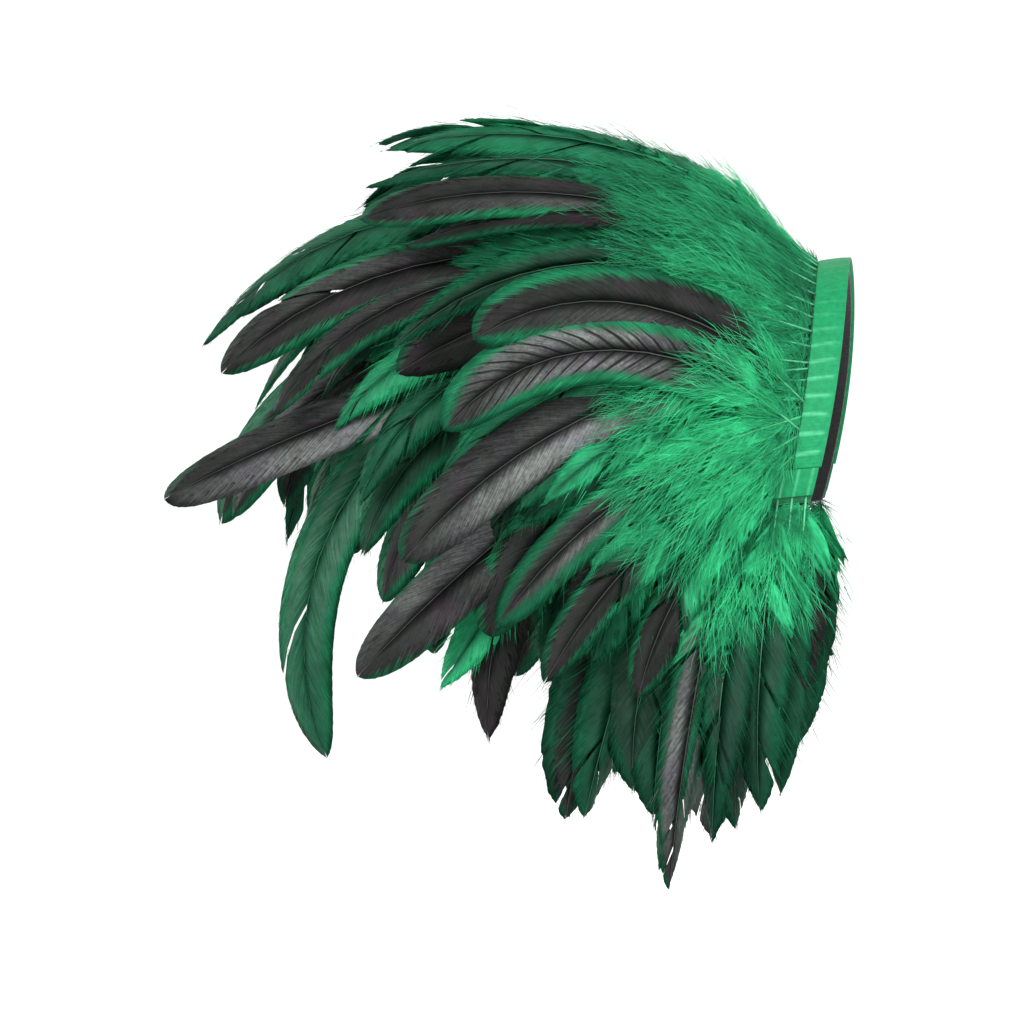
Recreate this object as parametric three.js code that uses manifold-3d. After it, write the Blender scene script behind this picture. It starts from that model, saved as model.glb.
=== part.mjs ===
// A feather epaulette for one shoulder: a felt cap that arches over the shoulder, five rows of dyed rooster
// feathers, each row's quills held in a heading tape, ribbons over the three headings at the cap's edges, and a
// plain pin under the cap. Millimetres, +Z up, the neck towards +X and the wearer's front towards -Y.
// The origin is the top of the shoulder, under the middle of the felt.
import * as THREE from "three";
import { mergeVertices } from "three/addons/utils/BufferGeometryUtils.js";
import Module from "manifold-3d";

const wasm = await Module();
wasm.setup();

// Thicknesses, from the shoulder outwards
const FELT = 2;
const GAP = 0.3;
const HEADING = 1;
const RIBBON = 0.8;
const PIN_BAR = 1.6;
const PIN_CLEARANCE = 0.6;

// Heights over the felt's underside
const HEADING_LOW = FELT + GAP;
const HEADING_HIGH = HEADING_LOW + HEADING;
const RIBBON_LOW = HEADING_HIGH + GAP;
const RIBBON_HIGH = RIBBON_LOW + RIBBON;
const QUILL_HEIGHT = HEADING_LOW + HEADING / 2;

// The felt cap: three arches from the neck edge to the shoulder's end. lean draws the arch's feet outwards.
const CAP_ARCHES = [
  { x: 40, top: 9, halfDepth: 58, drop: 74, lean: 9 },
  { x: 0, top: 0, halfDepth: 58, drop: 70, lean: 5 },
  { x: -42, top: -21, halfDepth: 52, drop: 58, lean: 0 },
];
const CAP_LENGTH = 84;
const HEM_ARCH = 100;

// Heading tapes and ribbons
const HEADING_WIDTH = 12;
const RIBBON_WIDTH = 11;
const EDGE_MARGIN = 1;
const ROW_END_ARCH = 89.4;
const HEM_HEADING_ARCH = 90;
const HEM_RIBBON_ARCHES = [90.2, 97.8];
const QUILL_SEAT = 0.8;

// A feather's outline: half width as a share of the widest, and thickness at the shaft, along its length
const FEATHER_OUTLINE = [
  { along: 0, breadth: 0.12, thickness: 0.9 },
  { along: 0.07, breadth: 0.14, thickness: 1.2 },
  { along: 0.22, breadth: 0.68, thickness: 1.5 },
  { along: 0.48, breadth: 1, thickness: 1.5 },
  { along: 0.74, breadth: 0.93, thickness: 1.3 },
  { along: 0.91, breadth: 0.56, thickness: 1.1 },
];
const FEATHER_HALF_WIDTH = 10;
const LONG_HALF_WIDTH = 11.5;
const VANE_CUP = 0.14;
const DROOP_POWER = 1.3;
const PATH_STEPS = 40;

// Neighbours in a row lie in turn on three levels, reached a short way from the quill
const LEVEL_RISE = 2.4;
const LEVELS = 3;
const LEVEL_REACHED = 0.3;

// How far a feather strays from its row: degrees, degrees, and shares of its length and width
const STRAY = { lift: 2.5, flare: 2.5, length: 0.09, width: 0.14 };

// Rows that follow the arch. place is where the quills leave the heading, from the neck edge (0) to the end (1).
// A station gives the arch in degrees from the top towards either hem, the lift over the horizon at the quill,
// the flare towards front or back, the droop by the tip and the length.
const ARCH_ROWS = [
  {
    name: "neck_fringe",
    place: 0.16,
    count: 33,
    stations: [
      { arch: 0, lift: 34, flare: 0, droop: 53, length: 182 },
      { arch: 45, lift: 20, flare: 22, droop: 52, length: 172 },
      { arch: 70, lift: -6, flare: 27, droop: 44, length: 165 },
      { arch: 86, lift: -38, flare: 28, droop: 30, length: 128 },
    ],
  },
  {
    name: "middle_fringe",
    place: 0.55,
    count: 27,
    stations: [
      { arch: 0, lift: 34, flare: 0, droop: 84, length: 214 },
      { arch: 45, lift: 13, flare: 20, droop: 74, length: 180 },
      { arch: 70, lift: -14, flare: 25, droop: 52, length: 148 },
      { arch: 86, lift: -44, flare: 26, droop: 30, length: 115 },
    ],
  },
  {
    name: "cap_fringe",
    place: 0.94,
    count: 21,
    stations: [
      { arch: 0, lift: 18, flare: 0, droop: 88, length: 200 },
      { arch: 45, lift: -2, flare: 19, droop: 82, length: 152 },
      { arch: 70, lift: -27, flare: 27, droop: 52, length: 120 },
      { arch: 86, lift: -46, flare: 31, droop: 30, length: 92 },
    ],
  },
];

// Single feathers that stand out of their rows at the front and the top
const LONG_FEATHERS = [
  { row: "neck_fringe", arch: -6, lift: 35, flare: -4, droop: 52, length: 172, level: 2.6 },
  { row: "neck_fringe", arch: -61, lift: -6, flare: -24, droop: 43, length: 178, level: 3.6 },
  { row: "neck_fringe", arch: -71, lift: 41, flare: -28, droop: 73, length: 150, level: 4 },
  { row: "neck_fringe", arch: -79, lift: 37, flare: -26, droop: 86, length: 162, level: 4 },
  { row: "middle_fringe", arch: -30, lift: 20, flare: -12, droop: 68, length: 200, level: 3 },
  { row: "middle_fringe", arch: -42, lift: -9, flare: -13, droop: 18, length: 220, level: 3 },
  { row: "middle_fringe", arch: -62, lift: -31, flare: -24, droop: 13, length: 178, level: 3 },
  { row: "cap_fringe", arch: -30, lift: -6, flare: -16, droop: 112, length: 220, level: 3 },
  { row: "cap_fringe", arch: -60, lift: -39, flare: -36, droop: 54, length: 139, level: 3 },
  { row: "cap_fringe", arch: -68, lift: -44, flare: -33, droop: 14, length: 124, level: 2 },
];

// Rows that hang from the hems, with their stations along the hem from the neck edge to the end
const HEM_ROWS = [
  { name: "front_fringe", side: -1 },
  { name: "back_fringe", side: 1 },
];
const HEM_COUNT = 13;
const HEM_STATIONS = [
  { place: 0.04, lift: -76, flare: 75, droop: 10, length: 98 },
  { place: 0.3, lift: -72, flare: 62, droop: 14, length: 146 },
  { place: 0.62, lift: -64, flare: 46, droop: 20, length: 142 },
  { place: 0.93, lift: -60, flare: 24, droop: 22, length: 108 },
];

const radians = THREE.MathUtils.degToRad;

// A repeatable stray value between -1 and 1
function stray(seed) {
  const wave = Math.sin(seed * 127.1) * 43758.5453;
  return 2 * (wave - Math.floor(wave)) - 1;
}

// The row of values at a place between two stations of a table
function between(table, key, place) {
  const last = table.length - 1;
  let high = table.findIndex((row) => row[key] >= place);
  if (high < 0) high = last;
  const low = Math.max(high - 1, 0);
  const span = table[high][key] - table[low][key];
  const share = span > 0 ? THREE.MathUtils.clamp((place - table[low][key]) / span, 0, 1) : 0;
  const mixed = {};
  for (const name of Object.keys(table[0])) {
    mixed[name] = THREE.MathUtils.lerp(table[low][name], table[high][name], share);
  }
  return mixed;
}

// The arch at a share of the way from the neck edge to the end, on a parabola through the three arches
function capArch(place) {
  const weights = [(1 - place) * (1 - 2 * place), 4 * place * (1 - place), place * (2 * place - 1)];
  const mixed = {};
  for (const name of Object.keys(CAP_ARCHES[0])) {
    mixed[name] = CAP_ARCHES.reduce((sum, arch, i) => sum + weights[i] * arch[name], 0);
  }
  return mixed;
}

// A point on the felt's underside. arch is in degrees from the top, below zero towards the front.
function underside(place, arch) {
  const section = capArch(place);
  const fall = 1 - Math.cos(radians(arch));
  return new THREE.Vector3(
    section.x - section.lean * fall * fall,
    section.halfDepth * Math.sin(radians(arch)),
    section.top - section.drop * fall,
  );
}

// The way out of the felt at a point
function outward(place, arch) {
  const step = 1e-3;
  const along = underside(place + step, arch).sub(underside(place - step, arch));
  const around = underside(place, arch + step).sub(underside(place, arch - step));
  return around.cross(along).normalize();
}

function capPoint(place, arch, height) {
  return underside(place, arch).addScaledVector(outward(place, arch), height);
}

// A closed solid from points and triangles, turned so that its faces point out
function solidFrom(points, triangles) {
  const geometry = new THREE.BufferGeometry().setFromPoints(points);
  geometry.setIndex(triangles.flat());
  const merged = mergeVertices(geometry, 1e-4);
  const make = (triVerts) =>
    new wasm.Manifold(
      new wasm.Mesh({ numProp: 3, vertProperties: merged.attributes.position.array, triVerts }),
    );
  const faces = new Uint32Array(merged.index.array);
  const solid = make(faces);
  if (solid.volume() > 0) return solid;
  for (let i = 0; i < faces.length; i += 3) [faces[i + 1], faces[i + 2]] = [faces[i + 2], faces[i + 1]];
  return make(faces);
}

// A stretch of cloth on the cap, between two heights over the felt's underside
function capSheet({ places, arches, low, high, placeCells, archCells }) {
  const points = [];
  const triangles = [];
  const index = (i, j, layer) => (layer * (placeCells + 1) + i) * (archCells + 1) + j;
  const quad = (a, b, c, d) => triangles.push([a, b, c], [a, c, d]);
  for (const height of [low, high]) {
    for (let i = 0; i <= placeCells; i++) {
      for (let j = 0; j <= archCells; j++) {
        const place = THREE.MathUtils.lerp(places[0], places[1], i / placeCells);
        const arch = THREE.MathUtils.lerp(arches[0], arches[1], j / archCells);
        points.push(capPoint(place, arch, height));
      }
    }
  }
  for (let i = 0; i < placeCells; i++) {
    for (let j = 0; j < archCells; j++) {
      quad(index(i, j, 1), index(i + 1, j, 1), index(i + 1, j + 1, 1), index(i, j + 1, 1));
      quad(index(i, j, 0), index(i, j + 1, 0), index(i + 1, j + 1, 0), index(i + 1, j, 0));
    }
    for (const [j, turned] of [[0, false], [archCells, true]]) {
      const rim = [index(i, j, 0), index(i + 1, j, 0), index(i + 1, j, 1), index(i, j, 1)];
      quad(...(turned ? rim.reverse() : rim));
    }
  }
  for (let j = 0; j < archCells; j++) {
    for (const [i, turned] of [[0, true], [placeCells, false]]) {
      const rim = [index(i, j, 0), index(i, j + 1, 0), index(i, j + 1, 1), index(i, j, 1)];
      quad(...(turned ? rim.reverse() : rim));
    }
  }
  return solidFrom(points, triangles);
}

// Where a feather runs: points, directions and outward normals at each row of the outline and at the tip
function featherPath({ root, normal, lift, flare, droop, length, level }) {
  const stops = [...FEATHER_OUTLINE.map((row) => row.along), 1];
  const path = [];
  const point = root.clone();
  const up = normal.clone();
  for (let step = 0; step <= PATH_STEPS; step++) {
    const along = step / PATH_STEPS;
    const pitch = radians(lift - droop * along ** DROOP_POWER);
    const yaw = radians(flare);
    const heading = new THREE.Vector3(
      -Math.cos(pitch) * Math.cos(yaw),
      Math.cos(pitch) * Math.sin(yaw),
      Math.sin(pitch),
    );
    up.addScaledVector(heading, -up.dot(heading)).normalize();
    while (path.length < stops.length && along >= stops[path.length] - 1e-9) {
      const rise = level * LEVEL_RISE * THREE.MathUtils.smoothstep(along, 0, LEVEL_REACHED);
      path.push({ point: point.clone().addScaledVector(up, rise), heading: heading.clone(), up: up.clone() });
    }
    point.addScaledVector(heading, length / PATH_STEPS);
  }
  return path;
}

// One feather: a cupped blade that is thickest along its shaft and comes to a point
function featherBlade(spec) {
  const path = featherPath(spec);
  const points = [];
  const triangles = [];
  const corners = 4;
  FEATHER_OUTLINE.forEach((row, i) => {
    const { point, heading, up } = path[i];
    const side = new THREE.Vector3().crossVectors(heading, up);
    const half = row.breadth * spec.halfWidth;
    const edge = (way) =>
      point.clone().addScaledVector(side, way * half).addScaledVector(up, -VANE_CUP * half);
    const shaft = (way) => point.clone().addScaledVector(up, (way * row.thickness) / 2);
    points.push(edge(-1), shaft(1), edge(1), shaft(-1));
  });
  points.push(path.at(-1).point);
  const tip = points.length - 1;
  const lastRing = (FEATHER_OUTLINE.length - 1) * corners;
  for (let k = 0; k < corners; k++) {
    const next = (k + 1) % corners;
    for (let ring = 0; ring < lastRing; ring += corners) {
      const [a, b, c, d] = [ring + k, ring + next, ring + corners + next, ring + corners + k];
      triangles.push([a, b, c], [a, c, d]);
    }
    triangles.push([lastRing + k, lastRing + next, tip]);
  }
  triangles.push([0, 3, 1], [1, 3, 2]);
  return solidFrom(points, triangles);
}

// The feather's own bearing, with its stray from the row
function strayed(station, seed) {
  return {
    lift: station.lift + STRAY.lift * stray(seed),
    flare: station.flare + STRAY.flare * stray(seed + 0.37),
    droop: station.droop,
    length: station.length * (1 + STRAY.length * stray(seed + 0.71)),
    halfWidth: FEATHER_HALF_WIDTH * (1 + STRAY.width * stray(seed + 0.13)),
  };
}

function archRow(row, rowNumber) {
  const seat = row.place - QUILL_SEAT / CAP_LENGTH;
  let fringe = capSheet({
    places: [row.place - HEADING_WIDTH / CAP_LENGTH, row.place],
    arches: [-ROW_END_ARCH, ROW_END_ARCH],
    low: HEADING_LOW,
    high: HEADING_HIGH,
    placeCells: 1,
    archCells: 24,
  });
  const sew = (arch, bearing) => {
    const held = { root: capPoint(seat, arch, QUILL_HEIGHT), normal: outward(seat, arch) };
    fringe = fringe.add(featherBlade({ ...bearing, ...held }));
  };
  const reach = row.stations.at(-1).arch;
  for (let i = 0; i < row.count; i++) {
    const arch = THREE.MathUtils.lerp(-reach, reach, i / (row.count - 1));
    const station = between(row.stations, "arch", Math.abs(arch));
    const bearing = strayed(station, 100 * rowNumber + i + 1);
    bearing.flare *= Math.sign(arch) || 1;
    sew(arch, { ...bearing, level: i % LEVELS });
  }
  for (const feather of LONG_FEATHERS.filter((long) => long.row === row.name)) {
    sew(feather.arch, { ...feather, halfWidth: LONG_HALF_WIDTH });
  }
  return fringe;
}

function hemRow(row, rowNumber) {
  const first = EDGE_MARGIN / CAP_LENGTH;
  const edge = row.side * HEM_ARCH;
  let fringe = capSheet({
    places: [first, 1 - first],
    arches: [row.side * HEM_HEADING_ARCH, edge],
    low: HEADING_LOW,
    high: HEADING_HIGH,
    placeCells: 8,
    archCells: 1,
  });
  for (let i = 0; i < HEM_COUNT; i++) {
    const ends = [HEM_STATIONS[0].place, HEM_STATIONS.at(-1).place];
    const place = THREE.MathUtils.lerp(ends[0], ends[1], i / (HEM_COUNT - 1));
    const bearing = strayed(between(HEM_STATIONS, "place", place), 100 * rowNumber + i + 1);
    bearing.flare *= row.side;
    const seat = edge - row.side * QUILL_SEAT;
    const blade = featherBlade({
      ...bearing,
      root: capPoint(place, seat, QUILL_HEIGHT),
      normal: outward(place, seat),
      level: i % LEVELS,
    });
    fringe = fringe.add(blade);
  }
  return fringe;
}

// A ribbon over a heading
function ribbon(places, arches, placeCells, archCells) {
  return capSheet({ places, arches, low: RIBBON_LOW, high: RIBBON_HIGH, placeCells, archCells });
}

const DYED_GREEN = { color: 0x0f7a45, roughness: 0.75, metalness: 0 };
const RIBBON_GREEN = { color: 0x16a05a, roughness: 0.5, metalness: 0 };
const BRONZE_BLACK = { color: 0x26302a, roughness: 0.5, metalness: 0 };
const BLACK_FELT = { color: 0x121214, roughness: 0.95, metalness: 0 };
const STEEL = { color: 0xb8babd, roughness: 0.35, metalness: 1 };

const epaulette = new THREE.Group();

function addPiece(name, solid, finish) {
  const { vertProperties, triVerts } = solid.getMesh();
  const geometry = new THREE.BufferGeometry();
  geometry.setAttribute("position", new THREE.BufferAttribute(vertProperties, 3));
  geometry.setIndex(new THREE.BufferAttribute(triVerts, 1));
  geometry.computeVertexNormals();
  const mesh = new THREE.Mesh(geometry, new THREE.MeshStandardMaterial(finish));
  mesh.name = name;
  epaulette.add(mesh);
}

const margin = EDGE_MARGIN / CAP_LENGTH;
const felt = capSheet({
  places: [0, 1],
  arches: [-HEM_ARCH - 1, HEM_ARCH + 1],
  low: 0,
  high: FELT,
  placeCells: 5,
  archCells: 18,
});
addPiece("felt_cap", felt, BLACK_FELT);

ARCH_ROWS.forEach((row, i) => addPiece(row.name, archRow(row, i + 1), i ? BRONZE_BLACK : DYED_GREEN));
HEM_ROWS.forEach((row, i) => addPiece(row.name, hemRow(row, ARCH_ROWS.length + i + 1), DYED_GREEN));

const neckHeading = ARCH_ROWS[0].place - HEADING_WIDTH / CAP_LENGTH;
const neckPlaces = [neckHeading, neckHeading + RIBBON_WIDTH / CAP_LENGTH];
addPiece("neck_ribbon", ribbon(neckPlaces, [-ROW_END_ARCH, ROW_END_ARCH], 1, 24), RIBBON_GREEN);
for (const { name, side } of [{ name: "front_ribbon", side: -1 }, { name: "back_ribbon", side: 1 }]) {
  const arches = HEM_RIBBON_ARCHES.map((arch) => side * arch);
  addPiece(name, ribbon([margin, 1 - margin], arches, 8, 1), RIBBON_GREEN);
}

const pin = capSheet({
  places: [0.3, 0.7],
  arches: [-2.5, 2.5],
  low: -PIN_CLEARANCE - PIN_BAR,
  high: -PIN_CLEARANCE,
  placeCells: 4,
  archCells: 2,
});
addPiece("pin_bar", pin, STEEL);

export default epaulette;
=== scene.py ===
"""Dresses a feather epaulette: a felt cap, satin ribbons, and rows of rooster feathers made barb by barb.

The layout of the rows is that of the solids, in metres: +Z up, the neck towards +X, the wearer's front
towards -Y. The script is laid out as an add-on and run as a script.
"""

import math
from collections import namedtuple

import bpy
import numpy as np
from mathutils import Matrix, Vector


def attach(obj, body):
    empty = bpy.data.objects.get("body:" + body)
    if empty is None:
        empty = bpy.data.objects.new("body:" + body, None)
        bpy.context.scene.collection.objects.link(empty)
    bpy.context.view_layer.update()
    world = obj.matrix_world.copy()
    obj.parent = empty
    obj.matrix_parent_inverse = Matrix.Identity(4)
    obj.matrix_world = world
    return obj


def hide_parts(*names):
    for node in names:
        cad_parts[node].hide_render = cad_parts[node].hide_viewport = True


bl_info = {
    "name": "Feather Epaulette",
    "version": (1, 0, 0),
    "blender": (4, 5, 0),
    "location": "View3D > Sidebar > Epaulette",
    "description": "Dresses a feather epaulette's solids in felt, ribbon and rooster feathers",
    "category": "Object",
}

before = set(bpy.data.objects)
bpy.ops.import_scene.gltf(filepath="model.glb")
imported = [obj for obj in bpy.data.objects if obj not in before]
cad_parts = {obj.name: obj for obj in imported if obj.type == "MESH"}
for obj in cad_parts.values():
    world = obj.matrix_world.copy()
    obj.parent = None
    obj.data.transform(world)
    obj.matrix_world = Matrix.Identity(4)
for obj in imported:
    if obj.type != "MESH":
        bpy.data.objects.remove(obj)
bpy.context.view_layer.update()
BODY = "root"
MM = 0.001

# Heights over the felt's underside, from the shoulder outwards
FELT = 2 * MM
HEADING_LOW = 2.3 * MM
HEADING_HIGH = 3.3 * MM
RIBBON_LOW = 3.6 * MM
RIBBON_HIGH = 4.4 * MM
QUILL_HEIGHT = 2.8 * MM

# The felt cap's arches, from the neck edge to the shoulder's end
CapArch = namedtuple("CapArch", "x top half_depth drop lean")
CAP_ARCHES = (
    CapArch(40 * MM, 9 * MM, 58 * MM, 74 * MM, 9 * MM),
    CapArch(0, 0, 58 * MM, 70 * MM, 5 * MM),
    CapArch(-42 * MM, -21 * MM, 52 * MM, 58 * MM, 0),
)

# Cloth on the cap. A place is a share of the cap's length, and an arch is in degrees from its top.
CAP_LENGTH = 84 * MM
RELIEF = 0.6 * MM
EDGE_ROUND = 0.3
EDGE_SEGMENTS = 2
EDGE_ANGLE = 60
SMOOTH_ANGLE = 40
HEM_ARCH = 100
FELT_ARCH = 101
EDGE_MARGIN = 1 * MM
HEADING_WIDTH = 12 * MM
RIBBON_WIDTH = 11 * MM
ROW_END_ARCH = 89.4
HEM_HEADING_ARCH = 90
HEM_RIBBON_ARCHES = (90.2, 97.8)
QUILL_SEAT = 0.8 * MM
QUILL_SEAT_ARCH = 0.8

# The shaft's run and the levels on which neighbours lie
DROOP_POWER = 1.3
PATH_STEPS = 40
LEVEL_RISE = 2.4 * MM
LEVELS = 3
LEVEL_REACHED = 0.3

# How far a feather strays from its row: degrees, shares of its length and width, and part of a level
STRAY_LIFT = 2.5
STRAY_FLARE = 2.5
STRAY_LENGTH = 0.09
STRAY_WIDTH = 0.22
STRAY_LEVEL = 0.5

# How far a dressed feather bends out of its solid's line, in degrees by the tip, and the share of its
# length that may be trimmed
SWAY_PITCH = 13
SWAY_FALL = 0.3
SWAY_YAW = 24
SWAY_ROLL = 20
SWAY_TWIST = 42
TRIM = 0.22
TOP_TRIM = 0.06
HEM_TRIM = 0.36
TOP_ROLL = 30
TOP_ARCH = 60
LONG_SWAY = 0.2

# Where webs start and down ends along a feather, and how bright the down's green is
WEB_FEET = {
    "neck_fringe": 0.05,
    "middle_fringe": 0.24,
    "cap_fringe": 0.24,
    "front_fringe": 0.04,
    "back_fringe": 0.04,
}
DOWN_END = 0.46
LOW_DOWN_END = 0.56
LOW_ARCHES = (50, 82)
HEM_DOWN_END = 0.36
LONG_DOWN_PAST = 0.2
DOWN_TONE = 1.0
TOP_DOWN_TONE = 0.5
TOP_DOWN_ARCHES = (15, 78)

# A feather that lies under two others of its row
UNDER_WEB_LATER = 0.12
UNDER_DOWN_END = 0.68
UNDER_DOWN_STEP = 1.4
UNDER_LENGTH = 0.72
UNDER_LEVEL = -0.4
UNDER_BARB_STEP = 1.9

# How a feather is marked: shares of bronze and of grey sheen, which is partly the vane's own grey and
# partly a painted highlight, where the bronze ends along a barb, the side with the painted sheen (-1, 0 for
# both, 1), the strength of the cross bars, the green's brightness and how loose its edge is
Look = namedtuple("Look", "bronze silver edge shine bars tone loose")
GREEN = Look(0.0, 0.04, 0.7, 0, 0.0, 0.15, 1.0)
PALE_GREEN = Look(0.0, 0.04, 0.7, 0, 0.0, 0.6, 1.0)
BRONZE = Look(1.0, 0.2, 0.85, -1, 0.1, 0.16, 0.45)
# Much grey sheen: the vane's own grey with a painted highlight on it
GREY_SHEENED = Look(1.0, 0.9, 1.05, -1, 0.15, 0.16, 0.3)
BARRED = Look(1.0, 0.75, 0.66, 0, 1.0, 0.16, 0.25)
BLACK = Look(1.0, 0.0, 1.2, 0, 0.0, 0.1, 0.5)
HALF_BRONZE = GREEN._replace(bronze=0.5)
SICKLE_GREEN = GREEN._replace(silver=0.2, tone=0.11, loose=0.4)
ARCHED_BRONZE = BRONZE._replace(edge=0.8, loose=0.2)
HALF_GREY_SHEENED = GREY_SHEENED._replace(silver=0.6, shine=1)

# The looks that chance gives the feathers of a row. A pair is a middle and how far a value strays from it.
BLACK_SHARE = 0.12
ARCH_BRONZE_SHARE = 0.38
HEM_BRONZE_SHARE = 0.12
ROW_TONE = (0.1, 0.08)
UNDER_TONE = (0.34, 0.2)
HEM_TONE = 0.3
BLACK_EDGE = (0.95, 0.2)
BRONZE_EDGE = (0.7, 0.2)
# Shares of grey sheen, partly a painted highlight, on bronze and on green feathers
BRONZE_GREY_AND_SHEEN = (0.08, 0.4)
GREEN_GREY_AND_SHEEN = (0.04, 0.04)
MOST_BARS = 0.5
MOST_BRONZE = 0.6

# Where marks start, fade and end, along the feather or out along its barbs
BARBS_PER_BAR = 4.0
DOWN_TO_VANE = (-0.2, 0.04)
BRONZE_STARTS = (-0.16, 0)
# The grey sheen, partly a painted highlight, gathers around this place along the feather and grows out
# along its barbs
GREY_AND_SHEEN_PLACE = 0.56
GREY_AND_SHEEN_SPREAD = 0.24
GREY_AND_SHEEN_GROWS = (0.0, 0.25)
# The painted sheen left on the side of a vane that does not shine
FAR_SHINE = 0.2
WEB_DOWN_TONE = 0.65
BARB_TONES = (0.7, 1.2)
TIP_DARKENING = 0.6
TIP_DARKENS = (0.6, 1)
EDGE_DRIFT = 0.12
DRIFT_WAVES = 9
DRIFT_TURN = 2.4

Station = namedtuple("Station", "arch lift flare droop length")
ArchRow = namedtuple("ArchRow", "place count stations")
ARCH_ROWS = {
    "neck_fringe": ArchRow(
        0.16,
        33,
        (
            Station(0, 34, 0, 53, 182 * MM),
            Station(45, 20, 22, 52, 172 * MM),
            Station(70, -6, 27, 44, 165 * MM),
            Station(86, -38, 28, 30, 128 * MM),
        ),
    ),
    "middle_fringe": ArchRow(
        0.55,
        27,
        (
            Station(0, 34, 0, 84, 214 * MM),
            Station(45, 13, 20, 74, 180 * MM),
            Station(70, -14, 25, 52, 148 * MM),
            Station(86, -44, 26, 30, 115 * MM),
        ),
    ),
    "cap_fringe": ArchRow(
        0.94,
        21,
        (
            Station(0, 18, 0, 88, 200 * MM),
            Station(45, -2, 19, 82, 152 * MM),
            Station(70, -27, 27, 52, 120 * MM),
            Station(86, -46, 31, 30, 92 * MM),
        ),
    ),
}

# Single feathers that stand out of their rows. web_foot is where the web starts along the shaft.
LongFeather = namedtuple("LongFeather", "row arch lift flare droop length level roll web_foot look")
LONG_FEATHERS = (
    LongFeather("neck_fringe", -6, 35, -4, 52, 172 * MM, 2.6, -30, 0.05, GREEN),
    LongFeather("neck_fringe", -61, -6, -24, 43, 178 * MM, 3.6, -10, 0.24, GREY_SHEENED),
    LongFeather("neck_fringe", -71, 41, -28, 73, 150 * MM, 4, -6, 0.05, ARCHED_BRONZE),
    LongFeather("neck_fringe", -79, 37, -26, 86, 162 * MM, 4, -4, 0.12, BARRED),
    LongFeather("middle_fringe", -30, 20, -12, 68, 200 * MM, 3, -20, 0.24, BRONZE._replace(shine=1)),
    LongFeather("middle_fringe", -42, -9, -13, 18, 220 * MM, 3, -14, 0.24, GREY_SHEENED),
    LongFeather("middle_fringe", -62, -31, -24, 13, 178 * MM, 3, -6, 0.24, HALF_GREY_SHEENED),
    LongFeather("cap_fringe", -30, -6, -16, 112, 220 * MM, 3, -30, 0.24, SICKLE_GREEN),
    LongFeather("cap_fringe", -60, -39, -36, 54, 139 * MM, 3, -6, 0.24, BLACK._replace(loose=0.9)),
    LongFeather("cap_fringe", -68, -44, -33, 14, 124 * MM, 2, -6, 0.24, PALE_GREEN),
)

HemStation = namedtuple("HemStation", "place lift flare droop length")
HEM_SIDES = {"front_fringe": -1, "back_fringe": 1}
ROW_NUMBERS = {name: number for number, name in enumerate((*ARCH_ROWS, *HEM_SIDES), 1)}
HEM_COUNT = 13
HEM_STATIONS = (
    HemStation(0.04, -76, 75, 10, 98 * MM),
    HemStation(0.3, -72, 62, 14, 146 * MM),
    HemStation(0.62, -64, 46, 20, 142 * MM),
    HemStation(0.93, -60, 24, 22, 108 * MM),
)

# Looks of single feathers of a row, counted from its front end or from the neck
CHOSEN_LOOKS = {
    "neck_fringe": {4: GREEN, 12: BRONZE},
    "middle_fringe": {2: BRONZE, 7: PALE_GREEN._replace(tone=0.4)},
    "cap_fringe": {1: BLACK},
    "front_fringe": {
        0: BLACK,
        1: GREEN,
        3: HALF_BRONZE,
        5: GREY_SHEENED._replace(edge=0.75, silver=0.6, shine=0),
        6: GREEN,
        8: HALF_BRONZE,
    },
    "back_fringe": {5: GREY_SHEENED},
}

# A web is a thin closed sheet with these shares of the way from the shaft to its edge, and a row of them
# for each barb. A pair of tip values is for a tight and a loose web.
WEB_SHARES = np.array([0.0, 0.36, 0.72, 1.0])
WEB_HALF_THICKNESS = 0.08 * MM
WEB_RIPPLE = 0.02 * MM
WEB_END = 0.985
WEB_GROWS = (-0.04, 0.32)
WEB_SHOULDER = 0.5
TIP_BLUNTNESS = (6.0, 2.5)
TIP_ROUNDNESS = (0.45, 0.74)
TIP_CLOSING = 0.65
TIP_CLOSES = (0.84, 1)
BLUNTNESS_STRAY = 0.7
ROUNDNESS_STRAY = 0.1
HALVINGS = 18
LEAST_CURL = 0.01

# The web's barbs run in clumps that part at the edge. Angles, curl and rise are in degrees.
LEAST_CLUMP = 4
LARGE_CLUMP = 50
SOFT_CLUMP = 9
BARB_ANGLES = (48, 20)
BARB_ANGLE_POWER = 1.5
BARB_ANGLE_STRAY = 0.4
SOFT_ANGLE_STRAY = 4
LEAST_ANGLE = 10
CLUMP_CURL = (12, 2.2)
LEAST_CLUMP_CURL = 4
CLUMP_GATHERS = (1, 9)
GATHER_FADE = 0.7
GATHER_FADES = (0.5, 0.9)
BARB_RAGGED = 0.05
CLUMP_RAGGED = 0.12
CLUMP_ROUNDING = 0.06
CLUMP_ROUNDING_POWER = 6
CLUMP_RISE = 2.0
SOFT_RISE = 6
WEB_SAG = 0.12
CLUMP_WANDER = 0.07
BARB_WANDER = 0.02
BARB_NUMBER_STEP = 37.0

# A loose barb is a closed strand with three sides and a point. Its ridge is a share of half its width.
STRAND_SIDES = 3
STRAND_RIDGE = 0.9

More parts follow.
